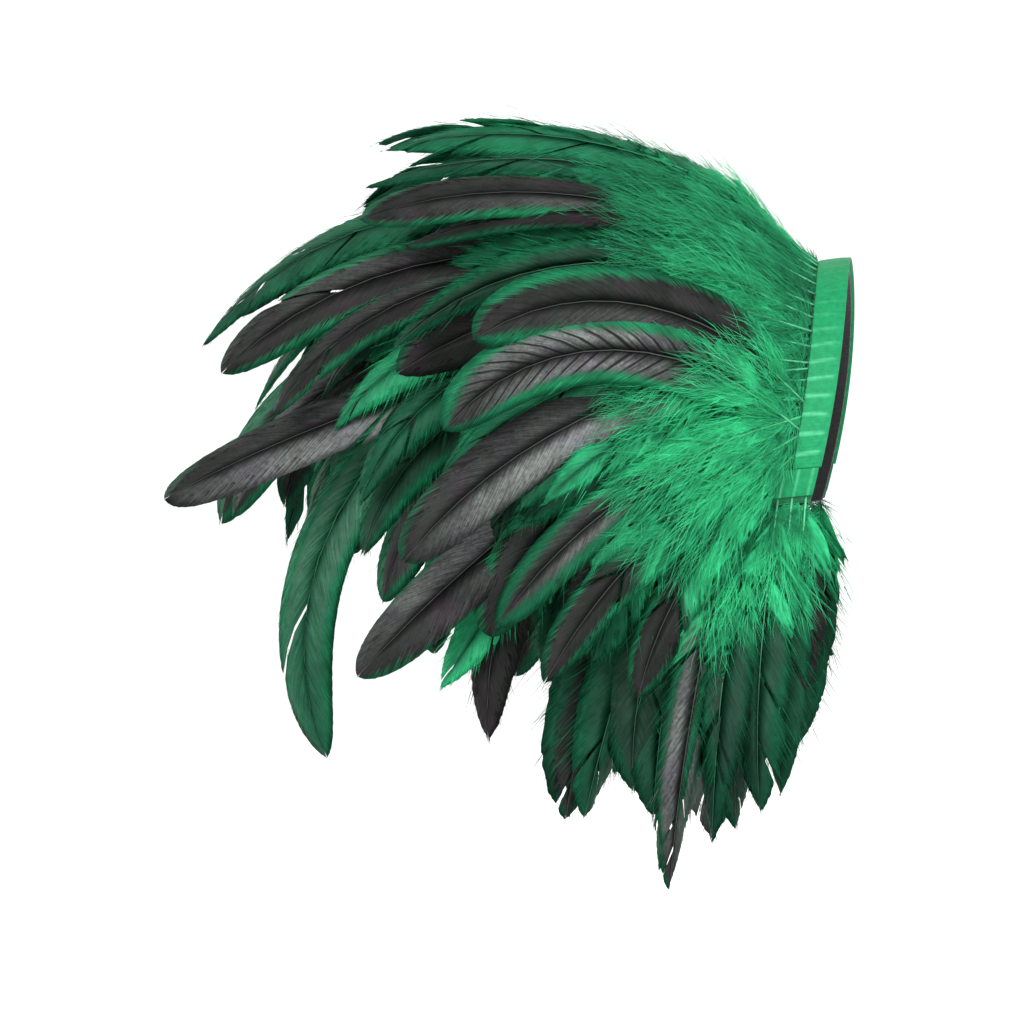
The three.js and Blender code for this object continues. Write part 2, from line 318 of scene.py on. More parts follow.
# Down grows in tufts. By the heading it is short and turns back over it. Angles are in degrees.
DOWN_SHARES = np.array([0.0, 0.55, 1.0])
DOWN_TAPER = np.array([1.0, 0.8, 0.0])
DOWN_WIDTHS = (0.07 * MM, 0.14 * MM)
DOWN_FOOT = 0.4 * MM
DOWN_NEAR = 14 * MM
DOWN_GROWN = 26 * MM
DOWN_BACKWARD = 9 * MM
BACKWARD_ANGLE = 70
DOWN_BESIDE = (-6 * MM, 9 * MM)
DOWN_OVER = 2.2 * MM
LARGE_TUFT = 16
TUFT_ANGLES = (-2, 30)
TUFT_FAN = 16
DOWN_ANGLE_STRAY = 8
TUFT_RISES = (-0.1, 0.42)
DOWN_RISE_STRAY = 0.1
FOOT_RISE = 0.8
FOOT_LENGTH = 0.42
DOWN_LENGTHS = (0.6, 1.15)
DOWN_SHORTENING = 0.35
DOWN_SHORTENS_FROM = 0.7
TUFT_CURLS = (-20, 34)
DOWN_CURLS = (1, 12)
TUFT_SAGS = (-0.05, 0.35)
DOWN_SAGS = (0, 0.1)
DOWN_TONES = (0.5, 0.95)
TUFT_TONE_STRAY = 0.18
DOWN_TONE_STRAY = 0.05
DOWN_TIP_TONE = 0.2
DOWN_FADE = 0.55
DOWN_FADES = (0.5, 1)

# Hairs are single barbs that stand past a web's edge. Their stray and rise are in degrees, their least
# angle in radians.
HAIR_SHARES = np.array([0.62, 1.0])
HAIR_TAPER = np.array([1.0, 0.0])
HAIR_WIDTHS = (0.09 * MM, 0.16 * MM)
TIGHT_HAIRS = 0.6
LOOSE_HAIRS = 2.6
HAIR_SOFTNESS = (1, 0.25)
HAIR_CLOSES = (0.5, 0.95)
HAIR_ANGLE_STRAY = 5
LEAST_HAIR_ANGLE = 0.15
HAIR_REACH = (0.97, 1.06)
HAIR_PAST = 3.8 * MM
HAIR_RISE = (0.5, 2.5)
HAIR_TONE_GAIN = 2
HAIR_TONE_LIFT = 0.06

# The shaft is a rod that lies on the web and thins towards its tip
SHAFT_RINGS = 14
SHAFT_SIDES = 4
SHAFT_FOOT = 3 * MM
UNDER_SHAFT_START = 14 * MM
SHAFT_END = 0.995
SHAFT_TIP_WIDTH = 0.16
SHAFT_TAPER_POWER = 0.7
SHAFT_RISE = 0.35 * MM
SHAFT_DARKENS = (-0.2, 0.1)
SHAFT_FADE = 0.8
SHAFT_FADES = (0, 0.7)

# A feather's place on the bake map keeps this share of its cell clear at each side
BAKE_INSET = 0.02

# The order of a feather piece's materials
FIRST_FINISH = 0
SHAFT_FINISH = 1

# stray turns a seed into a value by the first two. The others keep the seeds of feathers and rows apart.
STRAY_WAVE = 127.1
STRAY_SPREAD = 43758.5453
ROW_SEEDS = 100
UNDER_SEEDS = 50
LONG_SEEDS = 1000
WEB_SEED = (7, 11)
DOWN_SEED = (13, 5)

Feather = namedtuple(
    "Feather",
    "root normal lift flare droop length level half_width seed look sway roll"
    " web_foot down_end down_tone is_under",
)
RowWays = namedtuple(
    "RowWays",
    "side half_width roll trim bronze_share tone least_loose web_foot down_end down_tone",
)
Tip = namedtuple("Tip", "bluntness roundness")


def length_property(name, description, default, least=0.0):
    return bpy.props.FloatProperty(
        name=name, description=description, default=default, min=least, unit="LENGTH"
    )


def colour_property(name, description, default):
    return bpy.props.FloatVectorProperty(
        name=name, description=description, default=default, size=3, subtype="COLOR"
    )


def power_property(name, description, default):
    return bpy.props.FloatProperty(
        name=name, description=description, default=default, min=0.0, unit="POWER"
    )


class EpauletteFeathers(bpy.types.PropertyGroup):
    """Sizes of the feathers"""

    half_width: length_property("Half Width", "Half the width of a feather of the rows", 12.3 * MM)
    long_half_width: length_property(
        "Long Half Width", "Half the width of a feather that stands out of its row", 13 * MM
    )
    hem_half_width: length_property(
        "Hem Half Width", "Half the width of a feather that hangs from a hem", 14.5 * MM
    )
    barb_step: length_property(
        "Barb Step", "Distance between the barbs of a vane along the shaft", 1.7 * MM, 0.5 * MM
    )
    down_step: length_property(
        "Down Step", "Distance between the downy barbs at a feather's foot", 0.39 * MM, 0.2 * MM
    )
    down_length: length_property("Down Length", "Length of the longest downy barbs", 26 * MM)
    shaft_width: length_property("Shaft Width", "Half the width of a shaft at the heading", 0.45 * MM)


class EpauletteColours(bpy.types.PropertyGroup):
    """Colours of the dyed and natural materials, and of the grey and painted sheen on the vanes"""

    deep_green: colour_property("Deep Green", "Dyed vane in its darkest parts", (0.002, 0.026, 0.014))
    bright_green: colour_property("Bright Green", "Dyed down and loose barbs", (0.046, 0.66, 0.272))
    bronze: colour_property("Bronze Black", "Natural dark part of a vane", (0.0115, 0.0142, 0.0122))
    violet: colour_property(
        "Violet Sheen", "Violet cast in the dark part of a vane", (0.022, 0.012, 0.018)
    )
    shaft: colour_property("Shaft", "Undyed grey shaft of a dark vane", (0.05, 0.06, 0.054))
    # Silver Sheen and Violet Silver colour the vanes' grey and the highlight painted on it
    silver: colour_property(
        "Silver Sheen", "Grey bloom on the dark part of a vane", (0.15, 0.162, 0.155)
    )
    violet_grey_and_sheen: colour_property(
        "Violet Silver", "Violet cast in the grey bloom", (0.142, 0.138, 0.165)
    )
    quill: colour_property("Quill", "Dyed shaft near the heading", (0.11, 0.55, 0.28))
    ribbon: colour_property("Ribbon", "Satin ribbon over the headings", (0.008, 0.25, 0.092))
    felt: colour_property("Felt", "Felt of the cap", (0.012, 0.012, 0.014))
    steel: colour_property("Steel", "Nickelled steel of the pin", (0.58, 0.58, 0.57))


class EpauletteStage(bpy.types.PropertyGroup):
    """Floor, lights and camera"""

    floor: colour_property("Floor", "Colour of the floor and its backdrop", (0.9, 0.9, 0.9))
    key_power: power_property("Key Power", "Power of the large front light", 60)
    backdrop_power: power_property("Backdrop Power", "Power of the light on the backdrop", 75)
    fill_power: power_property("Fill Power", "Power of the light on the neck side", 18)
    side_power: power_property("Side Power", "Power of the light on the outer side", 22)


class Seed:
    """What is added to a feather's seed for each of its draws. The first four are those of its solid."""

    LIFT = 0
    FLARE = 0.37
    LENGTH = 0.71
    WIDTH = 0.13
    LEVEL = 0.87
    TRIM = 0.33
    KIND = 0.53
    TONE = 0.29
    SHINE = 0.19
    EDGE = 0.41
    SILVER = 0.61
    BARS = 0.83
    BRONZE = 0.47
    PITCH = 0.23
    YAW = 0.91
    ROLL = 0.07
    TWIST = 0.67


def settings():
    return bpy.context.scene


def stray(seed):
    """A repeatable value between -1 and 1."""
    wave = math.sin(seed * STRAY_WAVE) * STRAY_SPREAD
    return 2 * (wave - math.floor(wave)) - 1


def chance(seed):
    """A repeatable value between 0 and 1."""
    return 0.5 + 0.5 * stray(seed)


def about(middle, spread, seed):
    """A repeatable value that strays from its middle by up to its spread."""
    return middle + spread * stray(seed)


def feather_draws(feather, seed):
    """A repeatable run of draws for one feather. seed is the step between feathers and a start."""
    step, start = seed
    return np.random.default_rng(int(feather.seed * step + start))


def smooth_step(low, high, value):
    share = np.clip((value - low) / (high - low), 0, 1)
    return share * share * (3 - 2 * share)


def mix(low, high, share):
    return low + (high - low) * share


def between(stations, place):
    """The station at a place, mixed from the two around it. The first column is the place."""
    places = [station[0] for station in stations]
    return type(stations[0])(*(np.interp(place, places, column) for column in zip(*stations)))


def underside(place, arch):
    """Points on the felt's underside. arch is in degrees from the top, below zero towards the front."""
    weights = ((1 - place) * (1 - 2 * place), 4 * place * (1 - place), place * (2 * place - 1))
    section = CapArch(*(sum(w * value for w, value in zip(weights, column)) for column in zip(*CAP_ARCHES)))
    fall = 1 - np.cos(np.radians(arch))
    return np.stack(
        [
            section.x - section.lean * fall * fall,
            section.half_depth * np.sin(np.radians(arch)),
            section.top - section.drop * fall,
        ],
        -1,
    )


def outward(place, arch):
    """Directions out of the felt."""
    step = 1e-3
    along = underside(place + step, arch) - underside(place - step, arch)
    around = underside(place, arch + step) - underside(place, arch - step)
    out = np.cross(around, along)
    return out / np.linalg.norm(out, axis=-1, keepdims=True)


def cap_point(place, arch, height):
    place = np.asarray(place, float)
    arch = np.asarray(arch, float)
    return underside(place, arch) + outward(place, arch) * np.expand_dims(height, -1)


# Feathers: where each one sits and runs


def chance_look(seed, bronze_share):
    """The marking of a feather of the rows."""
    kind = chance(seed + Seed.KIND)
    tone = about(*ROW_TONE, seed + Seed.TONE)
    if kind < BLACK_SHARE:
        return BLACK._replace(edge=about(*BLACK_EDGE, seed + Seed.EDGE))
    if kind < BLACK_SHARE + bronze_share:
        return BRONZE._replace(
            silver=max(0.0, about(*BRONZE_GREY_AND_SHEEN, seed + Seed.SILVER)),
            edge=about(*BRONZE_EDGE, seed + Seed.EDGE),
            shine=1 if stray(seed + Seed.SHINE) > 0 else -1,
            bars=MOST_BARS * max(0.0, stray(seed + Seed.BARS)),
            tone=tone,
        )
    return GREEN._replace(
        bronze=MOST_BRONZE * max(0.0, stray(seed + Seed.BRONZE)),
        silver=about(*GREEN_GREY_AND_SHEEN, seed + Seed.SILVER),
        tone=tone,
    )


def row_feather(row_name, half_step, root, normal, station, row):
    """A feather of a row, which strays as its solid does. One under two others is shorter and all green."""
    step, is_under = divmod(half_step, 2)
    seed = ROW_SEEDS * ROW_NUMBERS[row_name] + step + 1 + UNDER_SEEDS * is_under
    look = CHOSEN_LOOKS[row_name].get(step) or chance_look(seed, row.bronze_share)
    look = look._replace(tone=row.tone * look.tone, loose=max(look.loose, row.least_loose))
    trim = 1 - row.trim * chance(seed + Seed.TRIM)
    level = about(step % LEVELS, STRAY_LEVEL, seed + Seed.LEVEL)
    if is_under:
        look = GREEN._replace(tone=about(*UNDER_TONE, seed + Seed.TONE))
        trim *= UNDER_LENGTH
        level = UNDER_LEVEL
    return Feather(
        root=root,
        normal=normal,
        lift=about(station.lift, STRAY_LIFT, seed + Seed.LIFT),
        flare=row.side * about(station.flare, STRAY_FLARE, seed + Seed.FLARE),
        droop=station.droop,
        length=station.length * about(1, STRAY_LENGTH, seed + Seed.LENGTH) * trim,
        level=level,
        half_width=row.half_width * about(1, STRAY_WIDTH, seed + Seed.WIDTH),
        seed=seed,
        look=look,
        sway=1.0,
        roll=row.roll,
        web_foot=row.web_foot + UNDER_WEB_LATER * is_under,
        down_end=UNDER_DOWN_END if is_under else row.down_end,
        down_tone=row.down_tone,
        is_under=is_under,
    )


def arch_feathers(name):
    """The feathers of a row that follows the arch, with a shorter one between each two."""
    row = ARCH_ROWS[name]
    sizes = settings().epaulette_feathers
    seat = row.place - QUILL_SEAT / CAP_LENGTH
    reach = row.stations[-1].arch
    feathers = []
    for half_step in range(2 * row.count - 1):
        arch = mix(-reach, reach, half_step / (2 * row.count - 2))
        side = math.copysign(1, arch)
        off_top = smooth_step(0, TOP_ARCH, abs(arch))
        ways = RowWays(
            side=side,
            half_width=sizes.half_width,
            roll=side * TOP_ROLL * (1 - off_top),
            trim=mix(TOP_TRIM, TRIM, off_top),
            bronze_share=ARCH_BRONZE_SHARE,
            tone=1,
            least_loose=0,
            web_foot=WEB_FEET[name],
            down_end=mix(DOWN_END, LOW_DOWN_END, smooth_step(*LOW_ARCHES, abs(arch))),
            down_tone=mix(TOP_DOWN_TONE, DOWN_TONE, smooth_step(*TOP_DOWN_ARCHES, abs(arch))),
        )
        root = cap_point(seat, arch, QUILL_HEIGHT)
        station = between(row.stations, abs(arch))
        feathers.append(row_feather(name, half_step, root, outward(seat, arch), station, ways))
    for i, long in enumerate(feather for feather in LONG_FEATHERS if feather.row == name):
        feathers.append(
            Feather(
                root=cap_point(seat, long.arch, QUILL_HEIGHT),
                normal=outward(seat, long.arch),
                lift=long.lift,
                flare=long.flare,
                droop=long.droop,
                length=long.length,
                level=long.level,
                half_width=sizes.long_half_width,
                seed=LONG_SEEDS * ROW_NUMBERS[name] + i,
                look=long.look,
                sway=LONG_SWAY,
                roll=long.roll,
                web_foot=long.web_foot,
                down_end=long.web_foot + LONG_DOWN_PAST,
                down_tone=DOWN_TONE,
                is_under=False,
            )
        )
    return feathers


def hem_feathers(name):
    """The feathers that hang from a hem, with a shorter one between each two."""
    side = HEM_SIDES[name]
    seat = side * (HEM_ARCH - QUILL_SEAT_ARCH)
    ways = RowWays(
        side=side,
        half_width=settings().epaulette_feathers.hem_half_width,
        roll=0,
        trim=HEM_TRIM,
        bronze_share=HEM_BRONZE_SHARE,
        tone=HEM_TONE,
        least_loose=1,
        web_foot=WEB_FEET[name],
        down_end=HEM_DOWN_END,
        down_tone=DOWN_TONE,
    )
    feathers = []
    for half_step in range(2 * HEM_COUNT - 1):
        place = mix(HEM_STATIONS[0].place, HEM_STATIONS[-1].place, half_step / (2 * HEM_COUNT - 2))
        root = cap_point(place, seat, QUILL_HEIGHT)
        station = between(HEM_STATIONS, place)
        feathers.append(row_feather(name, half_step, root, outward(place, seat), station, ways))
    return feathers


class ShaftLine:
    """A feather's shaft: even steps with a point, a heading, a side and an up direction at each."""

    def __init__(self, feather):
        self.length = feather.length
        seed = feather.seed
        along = np.linspace(0, 1, PATH_STEPS + 1)
        swayed = feather.sway * along**2
        pitch = feather.lift - feather.droop * along**DROOP_POWER
        pitch += SWAY_PITCH * (stray(seed + Seed.PITCH) - SWAY_FALL) * swayed
        yaw = feather.flare + SWAY_YAW * stray(seed + Seed.YAW) * swayed
        pitch, yaw = np.radians(pitch), np.radians(yaw)
        self.heading = np.stack(
            [-np.cos(pitch) * np.cos(yaw), np.cos(pitch) * np.sin(yaw), np.sin(pitch)], -1
        )
        run = np.cumsum(self.heading[:-1], axis=0) * feather.length / PATH_STEPS
        points = feather.root + np.vstack([np.zeros(3), run])
        ups = []
        up = feather.normal
        for heading in self.heading:
            up = up - up.dot(heading) * heading
            up = up / np.linalg.norm(up)
            ups.append(up)
        ups = np.array(ups)
        rise = feather.level * LEVEL_RISE * smooth_step(0, LEVEL_REACHED, along)
        self.points = points + ups * rise[:, None]
        turn = SWAY_ROLL * stray(seed + Seed.ROLL) + SWAY_TWIST * stray(seed + Seed.TWIST) * along
        roll = feather.roll * smooth_step(0, LEVEL_REACHED, along) + feather.sway * turn
        roll = np.radians(roll)[:, None]
        sides = np.cross(self.heading, ups)
        self.up = ups * np.cos(roll) + sides * np.sin(roll)
        self.side = np.cross(self.heading, self.up)

    def lay(self, flat):
        """World places of flat points: along the shaft, across the vane and over it."""
        held = np.clip(flat[:, 0], 0, self.length)
        step = held / self.length * PATH_STEPS
        low = np.minimum(step.astype(int), PATH_STEPS - 1)
        part = (step - low)[:, None]

        def at(values):
            return values[low] * (1 - part) + values[low + 1] * part

        past = (flat[:, 0] - held)[:, None]
        over = at(self.up) * flat[:, 2:3]
        return at(self.points) + at(self.heading) * past + at(self.side) * flat[:, 1:2] + over


# Feathers: webs, down and shafts as joined meshes


class Strands:
    """Collects closed solids as arrays: points, faces, bake places and the marks that materials read."""

    MARKS = ("bronze", "edge", "silver", "bars", "tone", "barb", "out")

    def __init__(self, cells):
        self.points = []
        self.faces = []
        self.places = []
        self.finish = []
        self.marks = {name: [] for name in self.MARKS}
        self.count = 0
        self.columns = math.ceil(math.sqrt(cells))
        self.rows = math.ceil(cells / self.columns)

    def add(self, points, faces, places, cell, finish, **marks):
        """Adds one closed solid.

        places are along and across the feather, from 0 to 1. cell is the feather's place on the bake map.
        """
        a, b, c = (points[faces[:, k]] - points[0] for k in range(3))
        if np.einsum("ij,ij->", a, np.cross(b, c)) < 0:
            faces = faces[:, ::-1]
        self.points.append(points)
        self.faces.append(faces + self.count)
        self.count += len(points)
        column = cell % self.columns
        row = cell // self.columns
        inset = mix(BAKE_INSET, 1 - BAKE_INSET, np.clip(places, 0, 1))
        self.places.append((inset + (column, row)) / (self.columns, self.rows))
        self.finish.append(np.full(len(faces), finish))
        for name in self.MARKS:
            self.marks[name].append(np.broadcast_to(marks.get(name, 0.0), len(points)))

    def piece(self, name, materials):
        """Joins what was collected into one object at the origin."""
        points = np.concatenate(self.points).astype(np.float32)
        faces = np.concatenate(self.faces).astype(np.int32)
        places = np.concatenate(self.places).astype(np.float32)
        mesh = bpy.data.meshes.new(name)
        mesh.vertices.add(len(points))
        mesh.vertices.foreach_set("co", points.ravel())
        mesh.loops.add(faces.size)
        mesh.polygons.add(len(faces))
        starts = np.arange(0, faces.size, faces.shape[1], dtype=np.int32)
        mesh.polygons.foreach_set("loop_start", starts)
        mesh.polygons.foreach_set("vertices", faces.ravel())
        mesh.polygons.foreach_set("material_index", np.concatenate(self.finish).astype(np.int32))
        for mark, values in self.marks.items():
            attribute = mesh.attributes.new(mark, "FLOAT", "POINT")
            attribute.data.foreach_set("value", np.concatenate(values).astype(np.float32))
        bake_map = mesh.uv_layers.new(name="OFBake")
        bake_map.uv.foreach_set("vector", places[faces.ravel()].ravel())
        mesh.update(calc_edges=True)
        mesh.shade_smooth()
        for material in materials:
            mesh.materials.append(material)
        piece = bpy.data.objects.new(name, mesh)
        bpy.context.collection.objects.link(piece)
        return piece


# Barbs as arrays, a value for each: start along the shaft, way to either side, angle to the shaft, length,
# how far they curl towards the tip, how they rise from the web and how they sag back
Barbs = namedtuple("Barbs", "start way angle length curl rise sag")


def barb_lines(barbs, shares):
    """Flat places along each barb, as an array of barbs by shares, and the angle to the shaft there."""
    curl = np.where(np.abs(barbs.curl) < LEAST_CURL, LEAST_CURL, barbs.curl)[:, None]
    turned = barbs.angle[:, None] - curl * shares
    forward = (np.sin(barbs.angle)[:, None] - np.sin(turned)) / curl
    across = (np.cos(turned) - np.cos(barbs.angle)[:, None]) / curl
    reach = barbs.length[:, None]
    over = barbs.rise[:, None] * shares - barbs.sag[:, None] * shares**2
    flat = np.stack([barbs.start[:, None] + reach * forward, barbs.way * reach * across, reach * over], -1)
    return flat, turned


def clump_numbers(draw, least, most):
    """The clump of each barb and its place in it, from 0 to 1. most is the largest clump at each."""
    count = len(most)
    clump = np.zeros(count, int)
    first = 0
    while first < count:
        size = int(draw.integers(least, max(least, most[first]) + 1))
        if count - first - size < least:
            size = count - first
        clump[first + size :] += 1
        first += size
    start = np.searchsorted(clump, clump, side="left")
    end = np.searchsorted(clump, clump, side="right") - 1
    return clump, (np.arange(count) - start) / np.maximum(end - start, 1)


def web_width(feather, tip, edge):
    """Half the web's width where a barb ends, at shares of the feather's length."""
    past = np.clip((edge - WEB_SHOULDER) / (1 - WEB_SHOULDER), 0, 1)
    grown = smooth_step(*WEB_GROWS, edge)
    return feather.half_width * grown * (1 - past**tip.bluntness) ** tip.roundness


def barb_lengths(feather, tip, start, angle):
    """The lengths that bring barbs to the web's outline, found by halving."""
    low = np.zeros(len(start))
    high = (feather.length - start) / np.cos(angle)
    for _ in range(HALVINGS):
        middle = (low + high) / 2
        edge = (start + middle * np.cos(angle)) / feather.length
        is_short = middle * np.sin(angle) < web_width(feather, tip, edge)
        low = np.where(is_short, middle, low)
        high = np.where(is_short, high, middle)
    return low


def web_faces(clump):
    """Triangles of a sheet of six corners for each barb, closed at the ends of each clump."""
    corners = 6
    joined = np.flatnonzero(clump[1:] == clump[:-1]) * corners
    ring = np.arange(corners)
    after = (ring + 1) % corners
    near = joined[:, None] + ring
    near_after = joined[:, None] + after
    sheet = np.stack(
        [
            np.stack([near, near_after, near_after + corners], -1),
            np.stack([near, near_after + corners, near + corners], -1),
        ],
        2,
    ).reshape(-1, 3)
    cap = np.array([(0, 1, 5), (1, 2, 5), (2, 4, 5), (2, 3, 4)])
    is_first = np.append(True, clump[1:] != clump[:-1])
    is_last = np.append(clump[1:] != clump[:-1], True)
    first_caps = (np.flatnonzero(is_first) * corners)[:, None, None] + cap[:, ::-1]
    last_caps = (np.flatnonzero(is_last) * corners)[:, None, None] + cap
    return np.concatenate([sheet, first_caps.reshape(-1, 3), last_caps.reshape(-1, 3)])


def web_marks(feather, look, way, along, out, wander):
    """The marks of places on a web, along the shaft and out along the barbs."""
    past_down = along - feather.down_end + wander
    # The grey sheen, partly the vane's own grey and partly a painted highlight, gathers around a place
    # along the feather
    grey_and_sheen_amount = np.exp(-(((along - GREY_AND_SHEEN_PLACE) / GREY_AND_SHEEN_SPREAD) ** 2)) * smooth_step(*GREY_AND_SHEEN_GROWS, out)
    drift = EDGE_DRIFT * np.sin(DRIFT_WAVES * along + DRIFT_TURN * feather.seed + way)
    # The painted highlight is full on the side that shines and weaker on the other
    lit = 1.0 if look.shine in (0, way) else FAR_SHINE
    tip_tone = 1 - TIP_DARKENING * smooth_step(*TIP_DARKENS, along)
    vane_tone = look.tone * mix(*BARB_TONES, out) * tip_tone
    tone = mix(WEB_DOWN_TONE * feather.down_tone, vane_tone, smooth_step(*DOWN_TO_VANE, past_down))
    return {
        "bronze": (look.bronze * smooth_step(*BRONZE_STARTS, past_down)).ravel(),
        "edge": np.broadcast_to(look.edge - wander + drift, out.shape).ravel(),
        "silver": (look.silver * lit * grey_and_sheen_amount).ravel(),
        "bars": look.bars,
        "tone": tone.ravel(),
    }


def bake_places(where, way, out):
    """Places on the bake map: along the feather, and across it with the shaft in the middle."""
    return np.stack([where, 0.5 + 0.5 * way * out], -1).reshape(-1, 2)


def web_barbs(feather, tip, way, step, draw):
    """The barbs on one side of a shaft, and the clump that each belongs to."""
    freedom = feather.look.loose
    start = np.arange(feather.web_foot * feather.length, WEB_END * feather.length, step)
    count = len(start)
    along = start / feather.length
    soft = 1 - smooth_step(*DOWN_TO_VANE, along - feather.down_end)
    most = np.where(soft > 0.5, SOFT_CLUMP, int(LARGE_CLUMP / freedom))
    clump, within = clump_numbers(draw, int(LEAST_CLUMP / freedom**2), most)
    angle = mix(*BARB_ANGLES, along**BARB_ANGLE_POWER) + draw.normal(0, BARB_ANGLE_STRAY, count)
    angle += draw.normal(0, SOFT_ANGLE_STRAY, count) * soft
    closing = 1 - TIP_CLOSING * smooth_step(*TIP_CLOSES, along)
    angle = np.radians(np.maximum(angle, LEAST_ANGLE) * closing)
    gather = draw.uniform(*CLUMP_GATHERS, count)[clump] * (0.5 - within)
    gather *= 1 - GATHER_FADE * smooth_step(*GATHER_FADES, along)
    curl = np.maximum(draw.normal(*CLUMP_CURL, count)[clump] + gather, LEAST_CLUMP_CURL)
    curl = np.radians(curl)
    rounding = CLUMP_ROUNDING * np.abs(2 * within - 1) ** CLUMP_ROUNDING_POWER
    ragged = 1 - freedom * draw.uniform(0, BARB_RAGGED, count) - rounding
    ragged *= 1 - freedom * draw.uniform(0, CLUMP_RAGGED, count)[clump]
    rise = draw.normal(0, CLUMP_RISE, count)[clump] + draw.normal(0, SOFT_RISE, count) * soft
    barbs = Barbs(
        start=start,
        way=way,
        angle=angle,
        length=barb_lengths(feather, tip, start, angle - curl / 2) * ragged,
        curl=curl,
        rise=np.radians(rise),
        sag=np.full(count, WEB_SAG),
    )
    return barbs, clump


def add_web(strands, feather, line, cell, step):
    """The web on both sides of a shaft, split between clumps of barbs, with loose barbs at its edges."""
    draw = feather_draws(feather, WEB_SEED)
    look = feather.look
    tip = Tip(
        mix(*TIP_BLUNTNESS, look.loose) + draw.uniform(-BLUNTNESS_STRAY, BLUNTNESS_STRAY),
        mix(*TIP_ROUNDNESS, look.loose) + draw.uniform(-ROUNDNESS_STRAY, ROUNDNESS_STRAY),
    )
    half = np.array([0, 0, WEB_HALF_THICKNESS])
    for way in (-1, 1):
        barbs, clump = web_barbs(feather, tip, way, step, draw)
        count = len(clump)
        flat, _ = barb_lines(barbs, WEB_SHARES)
        flat[:, 1:, 2] += (WEB_RIPPLE * (-1.0) ** np.arange(count))[:, None]
        inner = flat[:, 1:-1]
        sheet = np.concatenate([flat[:, :1], inner + half, flat[:, -1:], inner[:, ::-1] - half], 1)
        out = np.broadcast_to(np.concatenate([WEB_SHARES, WEB_SHARES[-2:0:-1]]), sheet.shape[:2])
        where = np.broadcast_to((barbs.start / feather.length)[:, None], out.shape)
        wander = draw.normal(0, CLUMP_WANDER, count)[clump] + draw.normal(0, BARB_WANDER, count)
        strands.add(
            line.lay(sheet.reshape(-1, 3)),
            web_faces(clump),
            bake_places(where, way, out),
            cell,
            FIRST_FINISH,
            barb=np.repeat(np.arange(count) + BARB_NUMBER_STEP * feather.seed, out.shape[1]),
            out=out.ravel(),
            **web_marks(feather, look, way, where, out, wander[:, None]),
        )
        add_edge_hairs(strands, feather, line, cell, barbs, step, draw)


def rod_faces(rings, sides):
    """Triangles of a rod: a closed foot, sides and a point, with corners ring by ring, then the point."""
    faces = [(0, k + 1, k) for k in range(1, sides - 1)]
    tip = rings * sides
    for ring in range(0, tip, sides):
        for k in range(sides):
            a = ring + k
            b = ring + (k + 1) % sides
            if ring + sides < tip:
                faces += [(a, b, a + sides), (b, b + sides, a + sides)]
            else:
                faces.append((a, b, tip))
    return np.array(faces)


def strand_faces(shares, count):
    """Triangles of a number of strands with rings at the same shares of their lengths."""
    rings = len(shares) - 1
    first_corners = np.arange(count) * (rings * STRAND_SIDES + 1)
    return (rod_faces(rings, STRAND_SIDES) + first_corners[:, None, None]).reshape(-1, 3)


def strand_bodies(flat, turned, way, wide):
    """Corners of strands along flat lines, three for each ring and a point. wide is half their width."""
    none = np.zeros_like(wide)
    lean = np.stack([-way * np.sin(turned) * wide, np.cos(turned) * wide, none], -1)
    ridge = np.stack([none, none, STRAND_RIDGE * wide], -1)
    rings = np.stack([flat - lean, flat + lean, flat + ridge], 2)[:, :-1]
    return np.concatenate([rings.reshape(len(flat), -1, 3), flat[:, -1:]], 1)


def strand_shares(shares):
    """The share of its strand at which each corner lies."""
    return np.append(np.repeat(shares[:-1], STRAND_SIDES), shares[-1])


def add_edge_hairs(strands, feather, line, cell, barbs, step, draw):
    """Loose barbs that stand past a web's edge."""
    look = feather.look
    hairs_per_barb = mix(TIGHT_HAIRS, LOOSE_HAIRS, look.loose)
    pick = np.sort(draw.integers(0, len(barbs.start), int(hairs_per_barb * len(barbs.start))))
    count = len(pick)
    start = barbs.start[pick] + draw.uniform(-0.5, 0.5, count) * step
    along = start / feather.length
    softness = look.loose * mix(*HAIR_SOFTNESS, smooth_step(*HAIR_CLOSES, along))
    angle = barbs.angle[pick] + np.radians(draw.normal(0, HAIR_ANGLE_STRAY, count)) * softness
    length = barbs.length[pick] * draw.uniform(*HAIR_REACH, count)
    length += draw.exponential(HAIR_PAST, count) * softness
    hairs = Barbs(
        start=start,
        way=barbs.way,
        angle=np.maximum(angle, LEAST_HAIR_ANGLE),
        length=length,
        curl=barbs.curl[pick],
        rise=barbs.rise[pick] + np.radians(draw.normal(*HAIR_RISE, count)) * softness,
        sag=barbs.sag[pick],
    )
    flat, turned = barb_lines(hairs, HAIR_SHARES)
    body = strand_bodies(flat, turned, barbs.way, draw.uniform(*HAIR_WIDTHS, count)[:, None] * HAIR_TAPER)
    out = np.broadcast_to(strand_shares(HAIR_SHARES), body.shape[:2])
    where = np.broadcast_to(along[:, None], out.shape)
    hair_look = look._replace(tone=HAIR_TONE_GAIN * look.tone + HAIR_TONE_LIFT)
    strands.add(
        line.lay(body.reshape(-1, 3)),
        strand_faces(HAIR_SHARES, count),
        bake_places(where, barbs.way, out),
        cell,
        FIRST_FINISH,
        barb=np.repeat(pick + BARB_NUMBER_STEP * feather.seed, out.shape[1]),
        out=out.ravel(),
        **web_marks(feather, hair_look, barbs.way, where, out, 0.0),
    )


